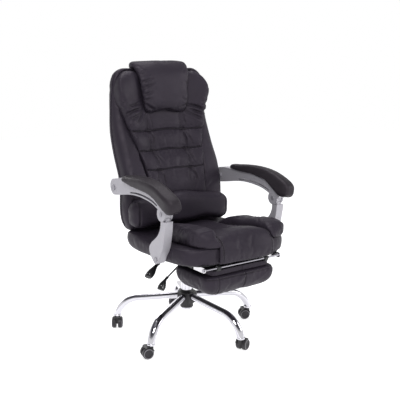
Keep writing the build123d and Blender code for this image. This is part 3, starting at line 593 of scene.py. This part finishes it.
def under_or_on_top(points):
    """The lower cushion's hidden top and bottom stay put; its sides are free."""
    return (points[:, 2] < CUSHION_FOOT) | (points[:, 2] > seat_top(points[:, 1]) - 0.006)


def broad_top(points):
    """True on the upper faces of the seat, for the swells."""
    return points[:, 2] > seat_top(points[:, 1]) - 0.004


def eased(value, low, high):
    """0 below low, 1 above high, smooth between them."""
    t = np.clip((value - low) / (high - low), 0, 1)
    return t * t * (3 - 2 * t)


def boxing_shape(mesh):
    """Fuller at the rear, where it stands up before the backrest and reaches under it beside the hinge."""
    points = coords(mesh)
    x, y, z = points.T
    rise = 0.015 * eased(y, -0.12, 0.03) * eased(z, 0.425, 0.455)
    hang = 0.013 * eased(np.abs(x), 0.16, 0.235) * eased(-z, -0.445, -0.425) * eased(y, -0.36, -0.10)
    back = 0.036 * eased(y, 0.01, 0.074) * eased(np.abs(x), 0.106, 0.135)
    wide = 0.004 * np.sign(x) * eased(np.abs(x), 0.15, 0.235)
    set_coords(mesh, np.stack((x + wide, y + back, z + rise - hang), axis=1))


FRONT_EDGE = [(-0.255, 0.46), (-0.15, 0.475), (0.15, 0.475), (0.255, 0.46)]

soft("seat_cushion", "seat_frame", "seat_boxing", voxel=0.0065, pressure=3.0, cap=0.004,
     pinned=under_or_on_top, slack=0.02, shape=(boxing_shape,), work=(
         lambda m: gathers(m, FRONT_EDGE, 0.0008, 0.03, 0.022, seed=4),
         lambda m: lumps(m, 0.0012, 0.16, 3),
     ))


def panel_rests(points):
    low = points[:, 2] < seat_top(points[:, 1]) + 0.006
    return (low & (points[:, 1] > -0.392)) | (points[:, 2] < CUSHION_FOOT)


def panel_shape(mesh):
    """The near edge is drawn in a little and the front third stands up like a pillow behind the knees."""
    points = coords(mesh)
    near = np.clip(-points[:, 0] / PANEL_HALF, 0, 1)
    points[:, 0] += 0.021 * near ** 2
    points[:, 2] += 0.009 * eased(points[:, 1], -0.12, 0.03)
    set_coords(mesh, points)
    held = coords(mesh).copy()
    swell(mesh, (0.01, -0.325, 0.515), (0.20, 0.115, 0.06), (0, 0, 0.017))
    swell(mesh, (0.01, -0.165, 0.495), (0.17, 0.09, 0.05), (0, 0, -0.009))
    swell(mesh, (0.01, -0.410, 0.470), (0.19, 0.06, 0.07), (0, -0.004, 0))
    points = coords(mesh)
    low = ~broad_top(held) & (held[:, 1] > -0.36)
    points[low] = held[low]
    set_coords(mesh, points)

PANEL_HALF = 0.146
NEAR_EDGE, FAR_EDGE = -0.125, 0.146
SEAM_INSET, STITCH_INSETS = 0.0165, (0.0125, 0.0205)      # from the panel's side edges
PANEL_FOLDS = (                                           # line in plan, depth, width
    ([(0.128, -0.215), (0.108, -0.228), (0.086, -0.222)], 0.0045, 0.0065),
    ([(0.134, -0.185), (0.104, -0.194), (0.070, -0.178)], 0.0040, 0.0070),
    ([(-0.118, -0.235), (-0.092, -0.245), (-0.066, -0.232)], 0.0030, 0.0070),
)


def panel_seams(mesh):
    """One sewn line beside each side edge, along the top and down the front."""
    for x in (NEAR_EDGE + SEAM_INSET, FAR_EDGE - SEAM_INSET):
        seam(mesh, [(x, -0.40), (x, 0.02)], 0.0022, 0.0024, PLAN, UP, 0.5)
        seam(mesh, [(x, 0.42), (x, 0.53)], 0.0022, 0.0024, FACE, FRONT, 0.5)


def panel_folds(mesh):
    for line, depth, width in PANEL_FOLDS:
        fold(mesh, line, depth, width, PLAN, UP, 0.5)


panel = soft("seat_panel", "seat_frame", "seat_centre", voxel=0.0055, pressure=3.0, cap=0.005,
             pinned=panel_rests, slack=0.015, shape=(panel_shape,), work=(
                 panel_seams,
                 panel_folds,
                 lambda m: lumps(m, 0.0016, 0.22, 11),
             ))
panel_surface = surface_of(panel)
for side, sign, edge in (("left", 1, FAR_EDGE), ("right", -1, NEAR_EDGE)):
    for row, inset in enumerate(STITCH_INSETS, 1):
        x = edge - sign * inset
        over = dense([(x, 0.02, 0.6), (x, -0.385, 0.6)], 0.0015)
        line = laid_on(panel_surface, over, DOWN, 0.0002)
        down = dense([(x, -0.6, line[-1].z - 0.002), (x, -0.6, 0.430)], 0.0015)
        line += laid_on(panel_surface, down, REAR, 0.0002)
        stitches(f"panel_stitch_{side}_{row}", line, "seat_frame")

# plan of each leaf-shaped bolster, from its rear end to its tip: y, inner and outer edge
LEAF = np.array(((0.004, 0.150, 0.190), (-0.05, 0.132, 0.212), (-0.12, 0.118, 0.226), (-0.20, 0.110, 0.236),
                 (-0.27, 0.108, 0.243), (-0.33, 0.111, 0.246), (-0.365, 0.116, 0.236), (-0.39, 0.124, 0.206),
                 (-0.407, 0.130, 0.158)))
LEAF_PARTS = 40            # lengths in which the CAD bolster's own plan is measured
BOLSTER_OUTER = ((0.226, -0.08), (0.236, -0.2), (0.240, -0.33), (0.200, -0.385))
BOLSTER_INNER = ((0.130, -0.06), (0.114, -0.15), (0.112, -0.3), (0.13, -0.37))
BOLSTER_FOLDS = (
    (((0.215, -0.19), (0.190, -0.22), (0.165, -0.235)), 0.0022),
    (((0.218, -0.25), (0.185, -0.27), (0.160, -0.275)), 0.0024),
)


def leaf(sign, slimmer, fuller, inmost):
    def reshape(mesh):
        """The sewn leaf's plan: a blunt rear end, widest before the front, and a tip at the panel."""
        points = coords(mesh)
        x, y = points[:, 0] * sign, points[:, 1]
        share = np.clip((y.max() - y) / (y.max() - y.min()), 0, 1)
        ends = np.linspace(0, 1, LEAF_PARTS + 1)
        part = np.clip((share * LEAF_PARTS).round().astype(int), 0, LEAF_PARTS)
        inner = np.array([x[part == k].min() for k in range(LEAF_PARTS + 1)])
        outer = np.array([x[part == k].max() for k in range(LEAF_PARTS + 1)])
        width = np.interp(share, ends, outer - inner) + 1e-6
        over = np.clip((x - np.interp(share, ends, inner)) / width, 0, 1)
        new_y = LEAF[0, 0] + share * (LEAF[-1, 0] - LEAF[0, 0])
        new_inner = np.maximum(np.interp(-new_y, -LEAF[:, 0], LEAF[:, 1]), inmost)
        new_outer = np.interp(-new_y, -LEAF[:, 0], LEAF[:, 2]) - slimmer
        rise = points[:, 2] - seat_top(y)
        low_ends = 0.62 + 0.38 * np.clip(share / 0.22, 0, 1) * np.clip((1 - share) / 0.10, 0, 1)
        points[:, 0] = sign * (new_inner + over * (new_outer - new_inner))
        points[:, 1] = new_y
        points[:, 2] = seat_top(new_y) + np.where(rise > 0.004, rise * low_ends * fuller, rise) - 0.002 * over
        set_coords(mesh, points)
    return reshape


def mirrored(line, sign):
    return [(sign * x, y) for x, y in line]


def bolster_work(sign, outer_pleats, inner_pleats):
    def press(mesh):
        """Pleats along both sewn edges and two folds between them."""
        gathers(mesh, mirrored(BOLSTER_OUTER, sign), 0.0030 * outer_pleats, 0.050, 0.016, PLAN, UP, 21)
        gathers(mesh, mirrored(BOLSTER_INNER, sign), 0.0020 * inner_pleats, 0.03, 0.018, PLAN, UP, 22)
        for line, depth in BOLSTER_FOLDS:
            fold(mesh, mirrored(line, sign), depth, 0.005, PLAN, UP)
        lumps(mesh, 0.0022, 0.13, 17)
    return press


def bolster_foot(points):
    return points[:, 2] < seat_top(points[:, 1]) + 0.007


# the right one stands nearer to the camera, slimmer, fuller and more pleated than the left one
bolster_steps = {"left": (leaf(1, 0.0, 0.97, 0.136), bolster_work(1, 0.45, 0.5)),
                 "right": (leaf(-1, 0.038, 1.22, 0.0), bolster_work(-1, 1.0, 1.0))}
for side, (plan, press) in bolster_steps.items():
    soft(f"seat_bolster_{side}", "seat_frame", f"bolster_{side}", voxel=0.0045, pressure=3.5,
         cap=0.005, pinned=bolster_foot, slack=0.03, shape=(plan,), work=(press,))

# ------------------------------------------------------------------ backrest
SEAMS = ((0.889, 0.185), (0.806, 0.164), (0.727, 0.151))      # height and half length of each sewn channel
TUFTS = ((0.087, 0.886), (0.088, 0.800), (0.081, 0.721))      # x on both sides, and height


def shell_held(points):
    return (points[:, 1] < 0.10) & (points[:, 2] < 0.62) & (np.abs(points[:, 0]) < 0.20)


def shoulders(extra):
    def reshape(mesh):
        """Squarer top corners than the CAD solid's, and a bottom edge just off the seat."""
        points = coords(mesh)
        points[:, 0] *= np.interp(points[:, 2], (0.98, 1.06, 1.11, 1.135, 1.152),
                                  (1.0, 1.0 + extra, 1.035 + extra, 1.07, 1.09))
        corners = eased(np.abs(points[:, 0]), 0.17, 0.23)
        points[:, 2] += (0.016 * corners - 0.007) * eased(-points[:, 2], -0.53, -0.464)
        set_coords(mesh, points)
    return reshape


shell = soft("back_shell", "backrest", "back_padding", voxel=0.0075, pressure=3.0, cap=0.004,
             pinned=shell_held, slack=0.01, shape=(shoulders(0.0),), work=(
                 lambda m: lumps(m, 0.0022, 0.2, 5),
             ))
shell_surface = surface_of(shell)
REAR_EDGE = ((0.49, 0.143), (0.52, 0.148), (0.58, 0.150), (0.64, 0.153), (0.72, 0.172), (0.80, 0.204),
             (0.90, 0.232), (0.985, 0.240), (1.05, 0.238), (1.10, 0.232))      # height and y
PIPING_INSET, PIPING_RADIUS = 0.024, 0.0022
for side, sign in SIDES:
    line = rounded_path([(sign * 0.30, y - PIPING_INSET, z) for z, y in REAR_EDGE])
    line = laid_on(shell_surface, line, (-sign, 0, 0), 0.0006)
    tube(f"rear_piping_{side}", line, PIPING_RADIUS, looks["black_leather"], "backrest")

# (x, z) lines on the backrest's front, with their depths
PLEATS = (
    ([(-0.085, 0.893), (-0.087, 0.924), (-0.095, 0.965)], 0.0030),
    ([(-0.068, 0.893), (-0.070, 0.923), (-0.077, 0.960)], 0.0022),
    ([(0.085, 0.893), (0.080, 0.924), (0.076, 0.960)], 0.0030),
    ([(0.108, 0.893), (0.098, 0.927), (0.095, 0.962)], 0.0022),
    ([(-0.081, 0.885), (-0.070, 0.851), (-0.078, 0.806)], 0.0042),
    ([(-0.099, 0.880), (-0.088, 0.843), (-0.080, 0.806)], 0.0028),
    ([(0.084, 0.885), (0.094, 0.843), (0.092, 0.806)], 0.0042),
    ([(0.094, 0.885), (0.109, 0.849), (0.122, 0.814)], 0.0028),
    ([(-0.090, 0.802), (-0.078, 0.767), (-0.074, 0.727)], 0.0042),
    ([(-0.086, 0.798), (-0.068, 0.776), (-0.050, 0.742)], 0.0026),
    ([(0.082, 0.800), (0.084, 0.767), (0.088, 0.727)], 0.0042),
    ([(0.090, 0.800), (0.100, 0.767), (0.112, 0.735)], 0.0026),
    ([(-0.078, 0.720), (-0.068, 0.694), (-0.066, 0.650)], 0.0042),
    ([(0.082, 0.720), (0.095, 0.690), (0.097, 0.650)], 0.0040),
    ([(-0.090, 0.720), (-0.098, 0.690), (-0.104, 0.660)], 0.0022),
    ([(0.070, 0.720), (0.062, 0.692), (0.058, 0.662)], 0.0022),
)
WING_FOLDS = (
    ([(0.105, 0.994), (0.166, 0.979), (0.197, 0.962), (0.226, 0.944)], 0.0055),
    ([(0.104, 0.984), (0.151, 0.960), (0.209, 0.944)], 0.0040),
    ([(0.095, 0.972), (0.140, 0.947), (0.183, 0.922)], 0.0032),
    ([(0.187, 1.004), (0.224, 0.989)], 0.0030),
    ([(-0.195, 0.992), (-0.161, 0.996), (-0.128, 1.006)], 0.0032),
    ([(-0.208, 0.957), (-0.166, 0.975), (-0.115, 0.980)], 0.0040),
    ([(-0.153, 0.924), (-0.127, 0.953), (-0.110, 0.978)], 0.0034),
    ([(-0.190, 0.938), (-0.155, 0.950), (-0.118, 0.970)], 0.0026),
)
HEAD_FOLDS = (
    ([(-0.128, 1.090), (-0.100, 1.098), (-0.072, 1.110)], 0.0034),
    ([(-0.122, 1.062), (-0.092, 1.076), (-0.062, 1.092)], 0.0032),
    ([(-0.117, 1.038), (-0.098, 1.044), (-0.076, 1.053)], 0.0036),
    ([(-0.113, 1.015), (-0.098, 1.019), (-0.080, 1.026)], 0.0030),
    ([(-0.112, 1.001), (-0.090, 0.990), (-0.066, 0.979)], 0.0036),
    ([(-0.103, 0.988), (-0.086, 0.981), (-0.068, 0.975)], 0.0026),
    ([(0.108, 1.010), (0.090, 1.014), (0.074, 1.022)], 0.0024),
    ([(0.110, 0.992), (0.092, 0.990), (0.074, 0.984)], 0.0024),
    ([(-0.134, 1.125), (-0.112, 1.130), (-0.090, 1.141)], 0.0022),
    ([(0.128, 1.090), (0.112, 1.086), (0.094, 1.090)], 0.0016),
)
QUILT_REAR = ((0.59, 0.64, 0.727, 0.806, 0.889, 0.96, 1.04, 1.10, 1.142),              # heights
              (0.066, 0.072, 0.096, 0.150, 0.176, 0.200, 0.212, 0.218, 0.224))         # y there


def quilt_held(points):
    """Sewn seams, the side edges and the back stay; the channels between fill out."""
    held = points[:, 1] > np.interp(points[:, 2], *QUILT_REAR)
    for z, _ in SEAMS:
        held |= np.abs(points[:, 2] - z) < 0.004
    return held | (points[:, 2] < 0.60)


def wing_folds(mesh):
    # each fold with painted shade down in its crease
    for line, depth in WING_FOLDS:
        fold(mesh, line, 1.5 * depth, 0.0062, ridge=0.6, sewn=0.35)


def quilting(mesh):
    """The sewn channels with their gathers, the pleats that run down from them, and the tufts."""
    for z, half in SEAMS:
        line = [(-half + 0.004, z), (-0.087, z - 0.004), (0.0, z + 0.0005), (0.087, z - 0.004),
                (half - 0.004, z)]
        seam(mesh, line, 0.0042, 0.0027)
        gathers(mesh, line, 0.0007, 0.020, 0.015, seed=int(z * 1000))
    for pleat, depth in PLEATS:
        fold(mesh, pleat, 0.55 * depth, 0.0105, ridge=0.25)
        # the narrow crease of each pleat, with painted shade down in it
        fold(mesh, pleat, 0.8 * depth, 0.0034, ridge=0.4, sewn=0.35)
    for x, z in TUFTS:
        for sign in (-1, 1):
            # each tuft's dimple, with painted shade down in it
            fold(mesh, [(sign * x - 0.004, z), (sign * x + 0.004, z)], 0.0040, 0.009, ridge=0.1, taper=False,
                 sewn=0.5)


soft("back_cushion", "backrest", "back_quilting", voxel=0.0045, pressure=3.0, cap=0.0045,
     pinned=quilt_held, slack=0.02, shape=(shoulders(0.012),), work=(
         lambda m: lumps(m, 0.0012, 0.14, 7),
         wing_folds,
         quilting,
     ))


def head_held(points):
    rear = np.interp(points[:, 2], (0.968, 1.05, 1.15), (0.19, 0.20, 0.215))
    return (points[:, 1] > rear) & (points[:, 2] < 1.15)


def head_shape(mesh):
    """The pillow's lower end hangs a little further down."""
    points = coords(mesh)
    points[:, 2] -= 0.010 * eased(-points[:, 2], -1.08, -0.968)
    set_coords(mesh, points)


def head_folds(mesh):
    # each fold with painted shade down in its crease
    for line, depth in HEAD_FOLDS:
        fold(mesh, line, depth, 0.0048, ridge=0.6, sewn=0.25)


soft("headrest_pillow", "backrest", "headrest", voxel=0.0045, pressure=4.0, cap=0.007,
     pinned=head_held, slack=0.025, shape=(head_shape,), work=(
         lambda m: gathers(m, [(-0.138, 1.13), (-0.125, 1.07), (-0.110, 1.0)], 0.0018, 0.030, 0.017, seed=31),
         lambda m: gathers(m, [(0.138, 1.13), (0.125, 1.07), (0.110, 1.0)], 0.0010, 0.022, 0.020, seed=32),
         head_folds,
         lambda m: lumps(m, 0.0014, 0.13, 9),
     ))

ROLL_NEAR, ROLL_FAR = -0.236, 0.200        # the roll's end seams
ROLL_MIDDLE = 0.545


def roll_shape(mesh):
    """Stuffed fuller in the middle than at its ends."""
    points = coords(mesh)
    x, y, z = points.T
    top = np.interp(x, (-0.256, -0.2, -0.12, -0.06, 0.02, 0.10, 0.165, 0.236),
                    (0, 0.013, 0.027, 0.031, 0.028, 0.018, 0.008, 0))
    foot = np.interp(x, (-0.256, -0.2, -0.1, 0.1, 0.236), (0.014, 0.012, 0.011, 0.010, 0.004))
    z = z + top * eased(z, 0.54, 0.604) + foot * eased(-z, -0.545, -0.49)
    z = ROLL_MIDDLE + (z - ROLL_MIDDLE) * (1 - 0.16 * eased(x, 0.19, 0.236))
    set_coords(mesh, np.stack((x - 0.011 * eased(x, 0.10, 0.236), y, z), axis=1))


soft("lumbar_pillow", "backrest", "lumbar_roll", voxel=0.0055, pressure=4.0, cap=0.005,
     pinned=lambda p: p[:, 1] > 0.045, slack=0.02, shape=(roll_shape,), work=(
         lambda m: seam(m, [(ROLL_NEAR, 0.47), (ROLL_NEAR, 0.62)], 0.0035, 0.0030, sewn=0.6),
         lambda m: seam(m, [(ROLL_FAR, 0.47), (ROLL_FAR, 0.62)], 0.0035, 0.0030, sewn=0.6),
         lambda m: gathers(m, [(ROLL_NEAR, 0.48), (ROLL_NEAR, 0.61)], 0.0010, 0.018, 0.014, seed=41),
         lambda m: gathers(m, [(ROLL_FAR, 0.48), (ROLL_FAR, 0.61)], 0.0012, 0.022, 0.014, seed=42),
         lambda m: lumps(m, 0.0018, 0.17, 13),
     ))

# ------------------------------------------------------------------ footrest
PAD_TOP = 0.366            # above this the stowed pad lies on its board


def pad_seams(mesh):
    """Two lines from front to rear over the pad's underside, and one across its front."""
    for x, sewn in ((-0.118, 0.6), (0.012, 0.8)):
        seam(mesh, [(x, 0.29), (x, 0.38)], 0.0026, 0.0026, sewn=sewn)
        seam(mesh, [(x, -0.40), (x, -0.15)], 0.0026, 0.0026, PLAN, DOWN, sewn)
    seam(mesh, [(-0.17, 0.3635), (0.17, 0.3635)], 0.0024, 0.0024, sewn=0.7)


soft("footrest_cushion", "footrest_pad", "footrest_pad_cover", voxel=0.0045, pressure=3.0,
     cap=0.004, pinned=lambda p: p[:, 2] > PAD_TOP, slack=0.012, work=(
         pad_seams,
         lambda m: lumps(m, 0.0010, 0.15, 15),
     ))
soft("footrest_board", "footrest_pad", "footrest_board_cover", voxel=0.0030, work=(
    lambda m: seam(m, [(0.004, 0.365), (0.004, 0.41)], 0.0018, 0.0022, sewn=0.9),
))

# ------------------------------------------------------------------ arm pads
for side, sign in SIDES:
    soft(f"arm_pad_{side}", f"upper_arm_{side}", f"arm_pad_cover_{side}", voxel=0.0032, work=(
        lambda m, s=sign: swell(m, (s * 0.278, 0.008, 0.716), (0.04, 0.045, 0.014), (0, 0.003, 0.0065)),
    ), look="arm_pad")

# ------------------------------------------------------------------ castor rims
RIM_OUT, RIM_RADIUS, RIM_CORD = 0.0222, 0.0192, 0.0014      # from the wheels' common middle, and of the ring
for joint in frame["joints"]:
    if not joint["name"].startswith("wheel_roll"):
        continue
    centre, axle = Vector(joint["pos_m"]), Vector(joint["axis"]).normalized()
    wheel = joint["child"]
    low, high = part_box("castor_" + wheel)
    outward = 1 if ((low + high) / 2 - centre).dot(axle) > 0 else -1
    side = axle.cross(UPRIGHT).normalized()
    ring = circle(centre + axle * outward * RIM_OUT, side, UPRIGHT, RIM_RADIUS, 48)
    tube(f"rim_{wheel}", ring, RIM_CORD, rim_look, wheel, True)

# ------------------------------------------------------------------ screw ends in the lever paddles
SCREWS = {"height": ((-0.2654, -0.1062, 0.3396), (-0.2602, -0.1178, 0.3404)),
          "recline": ((-0.2416, -0.1758, 0.3043), (-0.2402, -0.1854, 0.2975))}
SCREW_WAY = Vector((0.60, 0.35, -0.72)).normalized()
SCREW_RADIUS, SCREW_CORD = 0.0012, 0.0009
screw_side = SCREW_WAY.orthogonal().normalized()
screw_up = SCREW_WAY.cross(screw_side)
for lever, spots in SCREWS.items():
    paddle = surface_of(nodes[f"{lever}_paddle"])
    for number, spot in enumerate(spots, 1):
        ring = circle(Vector(spot), screw_side, screw_up, SCREW_RADIUS, 12)
        tube(f"{lever}_screw_{number}", laid_on(paddle, ring, SCREW_WAY, 0.0001), SCREW_CORD,
             looks["bright_steel"], f"{lever}_control", True)

# ------------------------------------------------------------------ camera, light and floor
ROUND, TURNED, PITCH = -34.2, 1.2, math.radians(11.45)      # degrees about the chair, and off its middle
DISTANCE, EYE = 2.820, 1.165
FOCAL_PIXELS, FRAME_PIXELS, SENSOR = 667.0, 400.0, 36.0
heading = math.radians(ROUND - TURNED)
stand = math.radians(ROUND)
level_way = Vector((-math.sin(heading), math.cos(heading), 0))
look_way = level_way * math.cos(PITCH) + Vector((0, 0, -math.sin(PITCH)))
camera_data = bpy.data.cameras.new("camera")
camera_data.sensor_width = SENSOR
camera_data.lens = SENSOR * FOCAL_PIXELS / FRAME_PIXELS
camera = bpy.data.objects.new("camera", camera_data)
scene.collection.objects.link(camera)
camera.location = Vector((math.sin(stand) * DISTANCE, -math.cos(stand) * DISTANCE, EYE))
camera.rotation_euler = look_way.to_track_quat("-Z", "Y").to_euler()
scene.camera = camera


def area_light(name, at, aim, size, power):
    data = bpy.data.lights.new(name, "AREA")
    data.shape = "RECTANGLE"
    data.size, data.size_y = size
    data.energy = power
    lamp = bpy.data.objects.new(name, data)
    scene.collection.objects.link(lamp)
    lamp.location = at
    lamp.rotation_euler = (Vector(aim) - Vector(at)).to_track_quat("-Z", "Y").to_euler()


area_light("key", (-1.5, -2.0, 2.9), (0, 0, 0.7), (1.4, 1.0), 55)
area_light("fill", (2.4, -1.8, 1.7), (0, 0, 0.6), (1.2, 1.6), 22)
area_light("top", (0.2, 0.6, 3.0), (0, 0, 0.6), (1.8, 1.4), 30)
area_light("rear", (0.5, 2.8, 2.0), (0, 0, 0.7), (1.6, 1.2), 18)


def seen_directly(tree):
    """1 for camera, glossy and transmission rays."""
    path = tree.nodes.new("ShaderNodeLightPath")
    total = path.outputs["Is Camera Ray"]
    for name in ("Is Glossy Ray", "Is Transmission Ray"):
        add = tree.nodes.new("ShaderNodeMath")
        add.operation = "ADD"
        add.use_clamp = True
        tree.links.new(total, add.inputs[0])
        tree.links.new(path.outputs[name], add.inputs[1])
        total = add.outputs[0]
    return total


LIT_COLOUR, LIT_STRENGTH = (0.93, 0.94, 1.0, 1), 0.42      # what falls on the chair from all round
# what is seen behind it and in its chrome, from straight down to straight up
SEEN_BANDS = ((0.0, (1, 1, 1)), (0.30, (1, 1, 1)), (0.52, (0.10, 0.10, 0.11)),
              (0.80, (0.06, 0.06, 0.07)), (1.0, (0.35, 0.35, 0.37)))
world = bpy.data.worlds.new("studio")
scene.world = world
world.use_nodes = True
tree = world.node_tree
lit = tree.nodes["Background"]
lit.inputs["Color"].default_value = LIT_COLOUR
lit.inputs["Strength"].default_value = LIT_STRENGTH
seen = tree.nodes.new("ShaderNodeBackground")
height = tree.nodes.new("ShaderNodeSeparateXYZ")
tree.links.new(tree.nodes.new("ShaderNodeTexCoord").outputs["Generated"], height.inputs[0])
tree.links.new(ramp(tree, height.outputs["Z"], SEEN_BANDS), seen.inputs["Color"])
seen.inputs["Strength"].default_value = 1.0
mix = tree.nodes.new("ShaderNodeMixShader")
tree.links.new(seen_directly(tree), mix.inputs[0])
tree.links.new(lit.outputs[0], mix.inputs[1])
tree.links.new(seen.outputs[0], mix.inputs[2])
tree.links.new(mix.outputs[0], tree.nodes["World Output"].inputs["Surface"])

FLOOR_HALF, FLOOR_DROP, FLOOR_GLOW = 8, 0.0005, 0.74
floor_corners = [(x * FLOOR_HALF, y * FLOOR_HALF, 0) for x, y in ((-1, -1), (1, -1), (1, 1), (-1, 1))]
floor_mesh = bpy.data.meshes.new("floor")
floor_mesh.from_pydata(floor_corners, [], [(0, 1, 2, 3)])
floor = bpy.data.objects.new("floor", floor_mesh)
scene.collection.objects.link(floor)
floor.location.z = -FLOOR_DROP
material, tree, skin = new_material("floor")
skin.inputs["Base Color"].default_value = (0.8, 0.8, 0.8, 1)
skin.inputs["Roughness"].default_value = 0.9
skin.inputs["Specular IOR Level"].default_value = 0.1
glow = tree.nodes.new("ShaderNodeEmission")
glow.inputs["Color"].default_value = (1, 1, 1, 1)
share = tree.nodes.new("ShaderNodeMath")
share.operation = "MULTIPLY"
share.inputs[1].default_value = FLOOR_GLOW
tree.links.new(seen_directly(tree), share.inputs[0])
tree.links.new(share.outputs[0], glow.inputs["Strength"])
add = tree.nodes.new("ShaderNodeAddShader")
tree.links.new(skin.outputs[0], add.inputs[0])
tree.links.new(glow.outputs[0], add.inputs[1])
tree.links.new(add.outputs[0], tree.nodes["Material Output"].inputs["Surface"])
floor_mesh.materials.append(material)

scene.view_settings.view_transform = "Standard"
